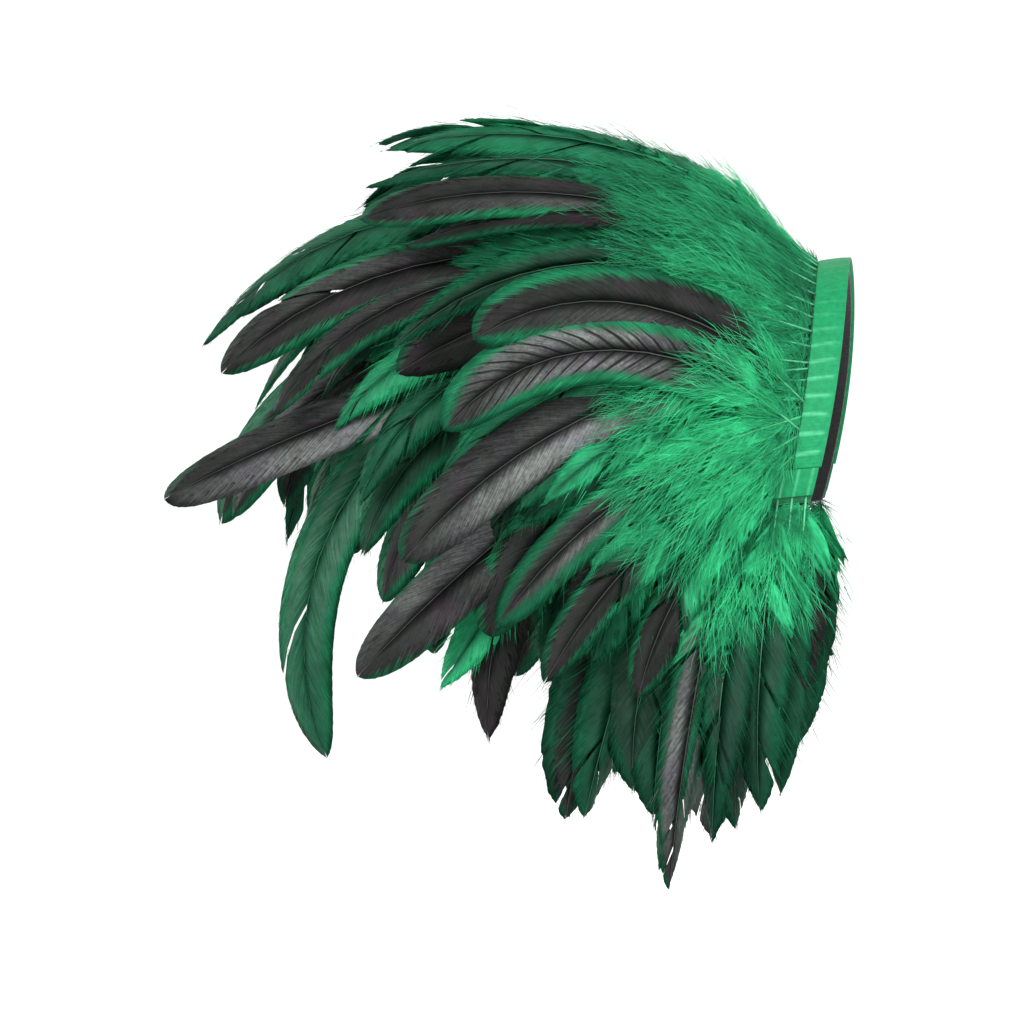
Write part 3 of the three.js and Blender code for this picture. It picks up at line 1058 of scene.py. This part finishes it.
def add_down(strands, feather, line, cell, step, foot_step):
    """The soft barbs at a feather's foot, in tufts: short and dark by the heading, then long and bright.

    foot_step is their distance near the heading, and step further out.
    """
    sizes = settings().epaulette_feathers
    draw = feather_draws(feather, DOWN_SEED)
    reach = feather.down_end * feather.length
    near = np.arange(DOWN_FOOT, DOWN_NEAR, foot_step)
    start = np.append(near, np.arange(DOWN_NEAR, reach, step))
    count = len(start)
    grown = smooth_step(0, DOWN_GROWN, start)
    shortened = 1 - DOWN_SHORTENING * smooth_step(DOWN_SHORTENS_FROM * reach, reach, start)
    for way in (-1, 1):
        tuft, within = clump_numbers(draw, LEAST_CLUMP, np.full(count, LARGE_TUFT))
        backward = BACKWARD_ANGLE * (1 - smooth_step(0, DOWN_BACKWARD, start)) * draw.uniform(0, 1, count)
        angle = draw.uniform(*TUFT_ANGLES, count)[tuft] + TUFT_FAN * (within - 0.5)
        angle = angle + draw.normal(0, DOWN_ANGLE_STRAY, count) + backward
        rise = draw.uniform(*TUFT_RISES, count)[tuft] + draw.normal(0, DOWN_RISE_STRAY, count)
        length = sizes.down_length * mix(FOOT_LENGTH, 1, grown) * shortened
        barbs = Barbs(
            start=start,
            way=way,
            angle=np.radians(angle),
            length=length * draw.uniform(*DOWN_LENGTHS, count),
            curl=np.radians(draw.uniform(*TUFT_CURLS, count)[tuft] + draw.uniform(*DOWN_CURLS, count)),
            rise=rise * mix(FOOT_RISE, 1, grown),
            sag=draw.uniform(*TUFT_SAGS, count)[tuft] + draw.uniform(*DOWN_SAGS, count),
        )
        flat, turned = barb_lines(barbs, DOWN_SHARES)
        flat[..., 1] += way * (grown * draw.uniform(*DOWN_BESIDE, count))[:, None]
        flat[..., 2] += (DOWN_OVER * grown * draw.uniform(0, 1, count))[:, None]
        body = strand_bodies(flat, turned, way, draw.uniform(*DOWN_WIDTHS, count)[:, None] * DOWN_TAPER)
        out = np.broadcast_to(strand_shares(DOWN_SHARES), body.shape[:2])
        tone = mix(*DOWN_TONES, grown) + draw.uniform(-TUFT_TONE_STRAY, TUFT_TONE_STRAY, count)[tuft]
        tone += draw.normal(0, DOWN_TONE_STRAY, count)
        tone *= 1 - DOWN_FADE * smooth_step(*DOWN_FADES, start / reach)
        beside = np.append(np.tile([-1, 1, 0], len(DOWN_SHARES) - 1), 0) * step / 2
        strands.add(
            line.lay(body.reshape(-1, 3)),
            strand_faces(DOWN_SHARES, count),
            bake_places((start[:, None] + beside) / reach, way, out),
            cell,
            FIRST_FINISH,
            tone=np.clip(feather.down_tone * (tone[:, None] + DOWN_TIP_TONE * out), 0, 1).ravel(),
            out=out.ravel(),
        )


def add_shaft(strands, feather, line, cell):
    """The quill and shaft, a tapered rod that lies on the web."""
    width = settings().epaulette_feathers.shaft_width
    foot = UNDER_SHAFT_START if feather.is_under else -SHAFT_FOOT
    along = np.linspace(foot, WEB_END * feather.length, SHAFT_RINGS)
    share = np.clip(along / feather.length, 0, 1)
    half = width * mix(1, SHAFT_TIP_WIDTH, share**SHAFT_TAPER_POWER)
    none = np.zeros(SHAFT_RINGS)
    rise = SHAFT_RISE * (1 - share)
    corners = ((-half, rise), (none, rise + half), (half, rise), (none, rise - half))
    rings = np.stack([np.stack([along, across, over], -1) for across, over in corners], 1)
    flat = np.append(rings.reshape(-1, 3), [[SHAFT_END * feather.length, 0, 0]], 0)
    shares = np.append(np.repeat(share, SHAFT_SIDES), 1)
    strands.add(
        line.lay(flat),
        rod_faces(SHAFT_RINGS, SHAFT_SIDES),
        np.stack([flat[:, 0] / feather.length, 0.5 + flat[:, 1] / feather.half_width], -1),
        cell,
        SHAFT_FINISH,
        bronze=feather.look.bronze * smooth_step(*SHAFT_DARKENS, shares - feather.down_end),
        tone=1 - SHAFT_FADE * smooth_step(*SHAFT_FADES, shares),
    )


# Materials


def add_node(tree, kind, inputs=None, **values):
    """A node with its values set. inputs gives a plain value or an output socket for each named input."""
    node = tree.nodes.new(kind)
    for name, value in values.items():
        setattr(node, name, value)
    for name, value in (inputs or {}).items():
        if isinstance(value, bpy.types.NodeSocket):
            tree.links.new(value, node.inputs[name])
        else:
            node.inputs[name].default_value = value
    return node


def colour(rgb):
    return (*rgb, 1.0)


def math_node(tree, operation, *values):
    """The result of a sum on plain values or output sockets."""
    return add_node(tree, "ShaderNodeMath", dict(enumerate(values)), operation=operation).outputs[0]


def mix_colour(tree, share, low, high):
    """A colour between two. The node's sockets share their names, so they go by number."""
    inputs = {0: share, 6: low, 7: high}
    return add_node(tree, "ShaderNodeMix", inputs, data_type="RGBA").outputs[2]


def fibre_group():
    """Fine mottling that the felt, the ribbon and the feathers share: a value around 1 and a height."""
    name = "Fibre Mottle"
    if name in bpy.data.node_groups:
        return bpy.data.node_groups[name]
    group = bpy.data.node_groups.new(name, "ShaderNodeTree")
    group.interface.new_socket("Vector", in_out="INPUT", socket_type="NodeSocketVector")
    for value in ("Scale", "Low", "High"):
        group.interface.new_socket(value, in_out="INPUT", socket_type="NodeSocketFloat")
    for value in ("Mottle", "Height"):
        group.interface.new_socket(value, in_out="OUTPUT", socket_type="NodeSocketFloat")
    entry = add_node(group, "NodeGroupInput").outputs
    noise = add_node(
        group,
        "ShaderNodeTexNoise",
        {"Vector": entry["Vector"], "Scale": entry["Scale"], "Detail": 4.0, "Roughness": 0.6},
    )
    ranged = add_node(
        group,
        "ShaderNodeMapRange",
        {
            "Value": noise.outputs[0],
            "From Min": 0.3,
            "From Max": 0.7,
            "To Min": entry["Low"],
            "To Max": entry["High"],
        },
    )
    add_node(group, "NodeGroupOutput", {"Mottle": ranged.outputs[0], "Height": noise.outputs[0]})
    return group


def new_material(name):
    """An empty node material and its tree."""
    material = bpy.data.materials.new(name)
    material.use_nodes = True
    tree = material.node_tree
    tree.nodes.clear()
    return material, tree


def finish_material(tree, inputs):
    surface = add_node(tree, "ShaderNodeBsdfPrincipled", inputs)
    add_node(tree, "ShaderNodeOutputMaterial", {"Surface": surface.outputs[0]})


def coordinates(tree):
    return add_node(tree, "ShaderNodeTexCoord").outputs


def mottle(tree, vector, scale, low, high):
    """The outputs of the shared mottling, between a low and a high value."""
    inputs = {"Vector": vector, "Scale": scale, "Low": low, "High": high}
    return add_node(tree, "ShaderNodeGroup", inputs, node_tree=fibre_group()).outputs


def bumped(tree, height, strength, distance):
    """A normal that follows a height."""
    inputs = {"Height": height, "Strength": strength, "Distance": distance}
    return add_node(tree, "ShaderNodeBump", inputs).outputs[0]


def mark(tree, name):
    return add_node(tree, "ShaderNodeAttribute", attribute_name=name).outputs["Fac"]


def shade(tree, value, base):
    """A colour made lighter or darker by a value around 1."""
    return add_node(tree, "ShaderNodeVectorMath", {0: base, "Scale": value}, operation="SCALE").outputs[0]


def dyed_green(tree, shades):
    """The vane's and the down's green, from deep to bright by its tone."""
    return mix_colour(tree, mark(tree, "tone"), colour(shades.deep_green), colour(shades.bright_green))


def grey_and_sheen_share(tree, barb, streaks, grain):
    """How much grey and painted sheen lies on a place of the web: less between its streaks and on its dark
    bars.
    """
    bars = math_node(tree, "SINE", math_node(tree, "MULTIPLY", barb, 2 * math.pi / BARBS_PER_BAR))
    dark_bars = add_node(tree, "ShaderNodeMapRange", {"Value": bars, "From Min": 0.55, "From Max": 0.95})
    barred = math_node(tree, "MULTIPLY", dark_bars.outputs[0], mark(tree, "bars"))
    grey_and_sheen_amount = math_node(tree, "MULTIPLY", mark(tree, "silver"), streaks)
    grey_and_sheen_amount = math_node(tree, "MULTIPLY", grey_and_sheen_amount, grain)
    return math_node(tree, "MULTIPLY", grey_and_sheen_amount, math_node(tree, "SUBTRACT", 1.0, barred))


def inside_margin(tree, out, streaks):
    """1 on the dark part of a web and 0 on its green margin, which the streaks make ragged."""
    ragged = math_node(tree, "MULTIPLY_ADD", streaks, 0.35, -0.35)
    past_edge = math_node(tree, "SUBTRACT", math_node(tree, "ADD", out, ragged), mark(tree, "edge"))
    inputs = {"Value": past_edge, "From Min": -0.12, "From Max": 0.08, "To Min": 1.0, "To Max": 0.0}
    return add_node(tree, "ShaderNodeMapRange", inputs).outputs[0]


def vane_material():
    """Dyed green web with a bronze-black centre, its grey and a painted sheen, and the fine lines of its
    barbs.
    """
    shades = settings().epaulette_colours
    material, tree = new_material("coque_vane")
    place = coordinates(tree)["Object"]
    barb = mark(tree, "barb")
    out = mark(tree, "out")
    along_barb = add_node(tree, "ShaderNodeCombineXYZ", {"X": barb, "Y": out}).outputs[0]
    streaks = mottle(tree, along_barb, scale=1.7, low=0.64, high=1.38)["Mottle"]
    grain = mottle(tree, place, scale=700.0, low=0.6, high=1.4)["Mottle"]
    fibres = mottle(tree, place, scale=90.0, low=0.7, high=1.25)["Mottle"]
    cast = mottle(tree, place, scale=60.0, low=-0.5, high=0.75)["Mottle"]
    dark = mix_colour(tree, cast, colour(shades.bronze), colour(shades.violet))
    # The grey and painted sheen: the vane's own grey in part, and in part a highlight painted into the base
    # colour
    silver = mix_colour(tree, cast, colour(shades.silver), colour(shades.violet_grey_and_sheen))
    inner = inside_margin(tree, out, streaks)
    grey_and_sheen_amount = math_node(tree, "MULTIPLY", grey_and_sheen_share(tree, barb, streaks, grain), inner)
    bronzed = math_node(tree, "MULTIPLY", mark(tree, "bronze"), inner)
    web = mix_colour(tree, bronzed, dyed_green(tree, shades), dark)
    web = shade(tree, streaks, mix_colour(tree, grey_and_sheen_amount, web, silver))
    lines = math_node(tree, "SINE", math_node(tree, "MULTIPLY", barb, 2 * math.pi))
    finish_material(
        tree,
        {
            "Base Color": shade(tree, fibres, web),
            "Roughness": 0.45,
            "Specular IOR Level": 0.06,
            "Normal": bumped(tree, lines, strength=0.12, distance=0.1 * MM),
        },
    )
    return material


def down_material():
    """Soft dyed down."""
    shades = settings().epaulette_colours
    material, tree = new_material("dyed_down")
    place = coordinates(tree)["Object"]
    fibres = mottle(tree, place, scale=160.0, low=0.75, high=1.2)["Mottle"]
    clouds = mottle(tree, place, scale=45.0, low=0.72, high=1.25)["Mottle"]
    green = shade(tree, clouds, dyed_green(tree, shades))
    finish_material(
        tree,
        {"Base Color": shade(tree, fibres, green), "Roughness": 0.7, "Specular IOR Level": 0.2},
    )
    return material


def quill_material():
    """Dyed shafts, pale at the heading and darker towards the tip."""
    shades = settings().epaulette_colours
    material, tree = new_material("dyed_quill")
    green = mix_colour(tree, mark(tree, "tone"), colour(shades.deep_green), colour(shades.quill))
    shaft = mix_colour(tree, mark(tree, "bronze"), green, colour(shades.shaft))
    finish_material(tree, {"Base Color": shaft, "Roughness": 0.4, "Specular IOR Level": 0.25})
    return material


def felt_material():
    """Black wool felt: matted fibres and a soft sheen."""
    shades = settings().epaulette_colours
    material, tree = new_material("black_felt")
    fibres = mottle(tree, coordinates(tree)["Object"], scale=900.0, low=0.5, high=1.6)
    finish_material(
        tree,
        {
            "Base Color": shade(tree, fibres["Mottle"], shades.felt),
            "Roughness": 0.95,
            "Normal": bumped(tree, fibres["Height"], strength=0.6, distance=0.6 * MM),
            "Sheen Weight": 0.25,
            "Sheen Roughness": 0.5,
        },
    )
    return material


def ribbon_material():
    """Green satin ribbon, finely ribbed across, with a painted pale highlight where the quills under it
    lift it.
    """
    shades = settings().epaulette_colours
    material, tree = new_material("green_satin")
    place = coordinates(tree)
    fibres = mottle(tree, place["Object"], scale=500.0, low=0.8, high=1.15)["Mottle"]
    rib = add_node(
        tree,
        "ShaderNodeTexWave",
        {"Vector": place["UV"], "Scale": 60.0, "Distortion": 1.2, "Detail": 2.0},
        bands_direction="Y",
    )
    # Painted highlight: the satin turns to the pale quill green on the ridges that the quills lift
    ridge = mix_colour(tree, mark(tree, "raised"), colour(shades.ribbon), colour(shades.quill))
    finish_material(
        tree,
        {
            "Base Color": shade(tree, fibres, ridge),
            "Roughness": 0.5,
            "Specular IOR Level": 0.16,
            "Normal": bumped(tree, rib.outputs["Fac"], strength=0.3, distance=0.15 * MM),
        },
    )
    return material


def tape_material():
    """Dark green cotton tape that the quills are sewn into."""
    shades = settings().epaulette_colours
    material, tree = new_material("heading_tape")
    place = coordinates(tree)
    fibres = mottle(tree, place["Object"], scale=700.0, low=0.6, high=1.4)["Mottle"]
    weave = add_node(
        tree,
        "ShaderNodeTexWave",
        {"Vector": place["UV"], "Scale": 40.0, "Distortion": 0.6},
        bands_direction="DIAGONAL",
    ).outputs["Fac"]
    green = mix_colour(tree, weave, colour(shades.deep_green), colour(shades.ribbon))
    finish_material(
        tree,
        {
            "Base Color": shade(tree, fibres, green),
            "Roughness": 0.85,
            "Normal": bumped(tree, weave, strength=0.4, distance=0.2 * MM),
        },
    )
    return material


def steel_material():
    """Plain nickelled steel with fine drawn lines."""
    shades = settings().epaulette_colours
    material, tree = new_material("pin_steel")
    inputs = {"Vector": coordinates(tree)["Object"], "Scale": (0.05, 1.0, 1.0)}
    stretched = add_node(tree, "ShaderNodeMapping", inputs).outputs[0]
    lines = mottle(tree, stretched, scale=6000.0, low=0.24, high=0.42)["Mottle"]
    finish_material(tree, {"Base Color": colour(shades.steel), "Metallic": 1.0, "Roughness": lines})
    return material


def kept_material(name, make):
    """The material of that name, made the first time it is asked for."""
    return bpy.data.materials.get(name) or make()


# Pieces


def dress(piece, node):
    """Puts a finished piece in the frame in place of a node."""
    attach(piece, BODY)
    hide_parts(node)


Stretch = namedtuple("Stretch", "places arches heights")


def cap_cloth(name, stretch, cells, relief=None):
    """A stretch of cloth on the cap, with its thickness and rounded edges.

    relief gives a share of the greatest rise for each vertex, from its share across and its place and arch.
    """
    bpy.ops.object.select_all(action="DESELECT")
    bpy.ops.mesh.primitive_grid_add(x_subdivisions=cells[0], y_subdivisions=cells[1], size=1)
    cloth = bpy.context.object
    cloth.name = cloth.data.name = name
    flat = np.empty(len(cloth.data.vertices) * 3)
    cloth.data.vertices.foreach_get("co", flat)
    shares = flat.reshape(-1, 3)[:, :2] + 0.5
    place = mix(*stretch.places, shares[:, 0])
    arch = mix(*stretch.arches, shares[:, 1])
    low, high = stretch.heights
    raised = np.zeros(len(place)) if relief is None else relief(shares[:, 0], place, arch)
    height = (low + high) / 2 + RELIEF * (raised - 0.5)
    cloth.data.vertices.foreach_set("co", cap_point(place, arch, height).ravel())
    # The ribbon's material paints a highlight where the cloth is raised
    attribute = cloth.data.attributes.new("raised", "FLOAT", "POINT")
    attribute.data.foreach_set("value", raised.astype(np.float32))
    cloth.data.update()
    solid = cloth.modifiers.new("Thickness", "SOLIDIFY")
    solid.thickness = high - low
    solid.offset = 0
    bpy.ops.object.modifier_apply(modifier=solid.name)
    round_edge = cloth.modifiers.new("Edge", "BEVEL")
    round_edge.width = EDGE_ROUND * (high - low)
    round_edge.segments = EDGE_SEGMENTS
    round_edge.angle_limit = math.radians(EDGE_ANGLE)
    bpy.ops.object.modifier_apply(modifier=round_edge.name)
    bpy.ops.object.mode_set(mode="EDIT")
    bpy.ops.mesh.select_all(action="SELECT")
    bpy.ops.mesh.normals_make_consistent(inside=False)
    bpy.ops.object.mode_set(mode="OBJECT")
    bpy.ops.object.shade_smooth_by_angle(angle=math.radians(SMOOTH_ANGLE))
    return cloth


class EPAULETTE_OT_felt_cap(bpy.types.Operator):
    """Drape the felt cap that the rows are sewn to"""

    bl_idname = "epaulette.felt_cap"
    bl_label = "Felt Cap"
    bl_options = {"REGISTER", "UNDO"}

    NECK_EDGE = 1.5 * MM / CAP_LENGTH
    CELLS = (30, 90)
    LUMP = 0.15
    LUMP_WAVES = ((37, 0.6), (29, -0.23))

    def execute(self, context):
        def matted(share, place, arch):
            first, second = (np.sin(across * place + around * arch) for across, around in self.LUMP_WAVES)
            return 0.5 + self.LUMP * first * second

        stretch = Stretch((self.NECK_EDGE, 1), (-FELT_ARCH, FELT_ARCH), (0, FELT))
        felt = cap_cloth("felt_cap_cloth", stretch, self.CELLS, matted)
        felt.data.materials.append(kept_material("black_felt", felt_material))
        dress(felt, "felt_cap")
        return {"FINISHED"}


class EPAULETTE_OT_ribbons(bpy.types.Operator):
    """Lay the ribbons over the headings at the cap's edges"""

    bl_idname = "epaulette.ribbons"
    bl_label = "Ribbons"
    bl_options = {"REGISTER", "UNDO"}

    EDGE_COVER = 1.3 * MM
    END_COVER = 0.7
    NECK_CELLS = (8, 330)
    HEM_CELLS = (160, 8)
    RIDGE_WIDTH = 0.08
    RIDGE_STRENGTH = 0.4
    STRENGTH_STRAY = 0.35
    STRENGTH_TURN = 12.9
    RIDGE_GROWS = (0.02, 0.35)
    SLANT = 0.15
    SLANT_TURN = 7.3

    def execute(self, context):
        heights = (RIBBON_LOW, RIBBON_HIGH)
        neck = ARCH_ROWS["neck_fringe"]
        quill_step = 2 * neck.stations[-1].arch / (neck.count - 1)
        first = neck.place - HEADING_WIDTH / CAP_LENGTH
        places = (first - self.EDGE_COVER / CAP_LENGTH, first + RIBBON_WIDTH / CAP_LENGTH)
        end = ROW_END_ARCH + self.END_COVER

        def over_quills(share, place, arch):
            number = arch / quill_step
            slant = self.SLANT * np.sin(self.SLANT_TURN * np.floor(number + 0.5)) * (share - 0.5)
            return self.ridge(number + slant) * smooth_step(*self.RIDGE_GROWS, share)

        self.lay("neck", Stretch(places, (-end, end), heights), self.NECK_CELLS, over_quills)
        margin = EDGE_MARGIN / CAP_LENGTH
        hem_step = (HEM_STATIONS[-1].place - HEM_STATIONS[0].place) / (HEM_COUNT - 1)

        def over_hem_quills(share, place, arch):
            return self.ridge((place - HEM_STATIONS[0].place) / hem_step)

        for name, side in (("front", -1), ("back", 1)):
            arches = tuple(side * arch for arch in HEM_RIBBON_ARCHES)
            self.lay(name, Stretch((margin, 1 - margin), arches, heights), self.HEM_CELLS, over_hem_quills)
        return {"FINISHED"}

    def lay(self, name, stretch, cells, relief):
        """A ribbon on its stretch of the cap, over the heading of its row."""
        ribbon = cap_cloth(f"{name}_ribbon_satin", stretch, cells, relief)
        ribbon.data.materials.append(kept_material("green_satin", ribbon_material))
        dress(ribbon, f"{name}_ribbon")

    def ridge(self, number):
        """How far a quill lifts the ribbon, from 0 to 1. A quill lies at each whole number."""
        quill = np.floor(number + 0.5)
        strength = self.RIDGE_STRENGTH + self.STRENGTH_STRAY * np.sin(self.STRENGTH_TURN * quill)
        return strength * np.exp(-(((number - quill) / self.RIDGE_WIDTH) ** 2))


class FringeMaker:
    """What both kinds of fringe share: a heading tape, and feathers as a piece of webs and two of down."""

    def make_fringe(self, name, feathers, slot, down_step, foot_step):
        """The shafts, webs and down of a row. foot_step is the down's distance near the heading."""
        barb_step = settings().epaulette_feathers.barb_step
        webs, down, under_down = (Strands(len(feathers)) for _ in range(3))
        for cell, feather in enumerate(feathers):
            line = ShaftLine(feather)
            add_shaft(webs, feather, line, cell)
            if feather.is_under:
                add_web(webs, feather, line, cell, UNDER_BARB_STEP * barb_step)
                add_down(under_down, feather, line, cell, UNDER_DOWN_STEP * down_step, foot_step)
            else:
                add_web(webs, feather, line, cell, barb_step)
                add_down(down, feather, line, cell, down_step, foot_step)
        vane = kept_material("coque_vane", vane_material)
        quill = kept_material("dyed_quill", quill_material)
        soft = kept_material("dyed_down", down_material)
        dress(webs.piece(f"{name}_webs", (vane, quill)), name)
        dress(down.piece(f"{name}_down", (soft,)), name)
        dress(under_down.piece(f"{name}_under_down", (soft,)), name)

    def make_heading(self, name, stretch, cells):
        """The tape that a row's quills are sewn into."""
        tape = cap_cloth(f"{name}_heading", stretch, cells)
        tape.data.materials.append(kept_material("heading_tape", tape_material))
        dress(tape, name)


class EPAULETTE_OT_arch_fringes(FringeMaker, bpy.types.Operator):
    """Make the feather rows that follow the arch of the cap"""

    bl_idname = "epaulette.arch_fringes"
    bl_label = "Arch Fringes"
    bl_options = {"REGISTER", "UNDO"}

    HEADING_CELLS = (4, 60)
    COVERED_DOWN = 4.0
    FOOT_DOWN = 0.6

    def execute(self, context):
        step = context.scene.epaulette_feathers.down_step
        for name, row in ARCH_ROWS.items():
            places = (row.place - HEADING_WIDTH / CAP_LENGTH, row.place)
            stretch = Stretch(places, (-ROW_END_ARCH, ROW_END_ARCH), (HEADING_LOW, HEADING_HIGH))
            self.make_heading(name, stretch, self.HEADING_CELLS)
            if name == "neck_fringe":
                self.make_fringe(name, arch_feathers(name), "green_feather", step, self.FOOT_DOWN * step)
            else:
                covered_step = self.COVERED_DOWN * step
                self.make_fringe(name, arch_feathers(name), "bronze_feather", covered_step, covered_step)
        return {"FINISHED"}


class EPAULETTE_OT_hem_fringes(FringeMaker, bpy.types.Operator):
    """Make the feather rows that hang from the front and back hems"""

    bl_idname = "epaulette.hem_fringes"
    bl_label = "Hem Fringes"
    bl_options = {"REGISTER", "UNDO"}

    HEADING_CELLS = (40, 4)
    HANGING_DOWN = 1.5
    FOOT_DOWN = 0.5

    def execute(self, context):
        step = context.scene.epaulette_feathers.down_step
        margin = EDGE_MARGIN / CAP_LENGTH
        for name, side in HEM_SIDES.items():
            arches = (side * HEM_HEADING_ARCH, side * HEM_ARCH)
            stretch = Stretch((margin, 1 - margin), arches, (HEADING_LOW, HEADING_HIGH))
            self.make_heading(name, stretch, self.HEADING_CELLS)
            self.make_fringe(
                name, hem_feathers(name), "green_feather", self.HANGING_DOWN * step, self.FOOT_DOWN * step
            )
        return {"FINISHED"}


class EPAULETTE_OT_pin(bpy.types.Operator):
    """Give the pin under the felt its steel"""

    bl_idname = "epaulette.pin"
    bl_label = "Pin"
    bl_options = {"REGISTER", "UNDO"}

    def execute(self, context):
        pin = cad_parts["pin_bar"]
        pin.data.materials.clear()
        pin.data.materials.append(kept_material("pin_steel", steel_material))
        return {"FINISHED"}


class EPAULETTE_OT_stage(bpy.types.Operator):
    """Set up the floor, the lights and the camera"""

    bl_idname = "epaulette.stage"
    bl_label = "Stage"
    bl_options = {"REGISTER", "UNDO"}

    EYE = Vector((0.154, -2.8, -0.04))
    AIM = Vector((-0.0885, 0.0, -0.083))
    FRAME_HEIGHT = 0.387
    SENSOR = 36
    FLOOR = -0.30
    FLOOR_SIZE = 10.0
    BACKDROP = -0.4
    SWEEP = 0.8
    SWEEP_SEGMENTS = 16
    BACKDROP_AIM = Vector((0.0, 4.6, 0.2))
    SURROUND = 0.7

    def execute(self, context):
        self.floor()
        self.lights()
        self.camera()
        context.scene.view_settings.view_transform = "Standard"
        return {"FINISHED"}

    def floor(self):
        """A pale floor that sweeps up into a backdrop."""
        bpy.ops.object.select_all(action="DESELECT")
        bpy.ops.mesh.primitive_plane_add(size=self.FLOOR_SIZE, location=(0, self.BACKDROP, self.FLOOR))
        floor = bpy.context.object
        floor.name = floor.data.name = "studio_floor"
        bpy.ops.object.transform_apply(location=True)
        back = self.BACKDROP + self.FLOOR_SIZE / 2
        bpy.ops.object.mode_set(mode="EDIT")
        bpy.ops.mesh.select_all(action="DESELECT")
        bpy.ops.object.mode_set(mode="OBJECT")
        for edge in floor.data.edges:
            edge.select = all(floor.data.vertices[v].co.y > back - MM for v in edge.vertices)
        bpy.ops.object.mode_set(mode="EDIT")
        bpy.ops.mesh.select_mode(type="EDGE")
        bpy.ops.mesh.extrude_region_move(TRANSFORM_OT_translate={"value": (0, 0, self.FLOOR_SIZE / 2)})
        bpy.ops.object.mode_set(mode="OBJECT")
        bend = floor.modifiers.new("Sweep", "BEVEL")
        bend.width = self.SWEEP
        bend.segments = self.SWEEP_SEGMENTS
        bpy.ops.object.modifier_apply(modifier=bend.name)
        bpy.ops.object.shade_smooth()
        material, tree = new_material("studio_floor")
        grain = mottle(tree, coordinates(tree)["Object"], scale=3.0, low=0.99, high=1.01)["Mottle"]
        pale = shade(tree, grain, settings().epaulette_stage.floor)
        finish_material(tree, {"Base Color": pale, "Roughness": 0.9})
        floor.data.materials.append(material)

    def lights(self):
        """A large soft light over the camera, weaker ones at the sides, a backdrop light and a surround."""
        stage = settings().epaulette_stage
        lamps = (
            ("key_light", (-0.7, -2.0, 1.3), 1.6, stage.key_power, self.AIM),
            ("fill_light", (1.6, -1.4, 0.4), 1.4, stage.fill_power, self.AIM),
            ("side_light", (-1.9, 0.8, 0.7), 1.4, stage.side_power, self.AIM),
            ("backdrop_light", (0.0, 0.7, 1.6), 2.0, stage.backdrop_power, self.BACKDROP_AIM),
        )
        for name, place, size, power, target in lamps:
            bpy.ops.object.light_add(type="AREA", location=place)
            lamp = bpy.context.object
            lamp.name = name
            lamp.data.size = size
            lamp.data.energy = power
            lamp.rotation_euler = (target - Vector(place)).to_track_quat("-Z", "Y").to_euler()
        world = bpy.context.scene.world or bpy.data.worlds.new("studio")
        bpy.context.scene.world = world
        world.use_nodes = True
        background = world.node_tree.nodes["Background"]
        background.inputs["Color"].default_value = (1, 1, 1, 1)
        background.inputs["Strength"].default_value = self.SURROUND

    def camera(self):
        bpy.ops.object.camera_add(location=self.EYE)
        camera = bpy.context.object
        camera.name = "photo_camera"
        sight = self.AIM - self.EYE
        camera.rotation_euler = sight.to_track_quat("-Z", "Y").to_euler()
        camera.data.sensor_width = self.SENSOR
        camera.data.lens = self.SENSOR * sight.length / self.FRAME_HEIGHT
        bpy.context.scene.camera = camera


class EPAULETTE_PT_panel(bpy.types.Panel):
    """Sizes, colours and steps of the epaulette"""

    bl_label = "Feather Epaulette"
    bl_idname = "EPAULETTE_PT_panel"
    bl_space_type = "VIEW_3D"
    bl_region_type = "UI"
    bl_category = "Epaulette"

    def draw(self, context):
        scene = context.scene
        for group in (scene.epaulette_feathers, scene.epaulette_colours, scene.epaulette_stage):
            box = self.layout.box()
            for name in group.__annotations__:
                box.prop(group, name)
        for operator in OPERATORS:
            self.layout.operator(operator.bl_idname)


OPERATORS = (
    EPAULETTE_OT_felt_cap,
    EPAULETTE_OT_ribbons,
    EPAULETTE_OT_arch_fringes,
    EPAULETTE_OT_hem_fringes,
    EPAULETTE_OT_pin,
    EPAULETTE_OT_stage,
)
GROUPS = {
    "epaulette_feathers": EpauletteFeathers,
    "epaulette_colours": EpauletteColours,
    "epaulette_stage": EpauletteStage,
}


def register():
    for group in GROUPS.values():
        bpy.utils.register_class(group)
    for name, group in GROUPS.items():
        setattr(bpy.types.Scene, name, bpy.props.PointerProperty(type=group))
    for operator in OPERATORS:
        bpy.utils.register_class(operator)
    bpy.utils.register_class(EPAULETTE_PT_panel)


def unregister():
    bpy.utils.unregister_class(EPAULETTE_PT_panel)
    for operator in reversed(OPERATORS):
        bpy.utils.unregister_class(operator)
    for name in GROUPS:
        delattr(bpy.types.Scene, name)
    for group in reversed(GROUPS.values()):
        bpy.utils.unregister_class(group)


def main():
    register()
    bpy.ops.epaulette.stage()
    bpy.ops.epaulette.felt_cap()
    bpy.ops.epaulette.ribbons()
    bpy.ops.epaulette.arch_fringes()
    bpy.ops.epaulette.hem_fringes()
    bpy.ops.epaulette.pin()


if __name__ == "__main__":
    main()
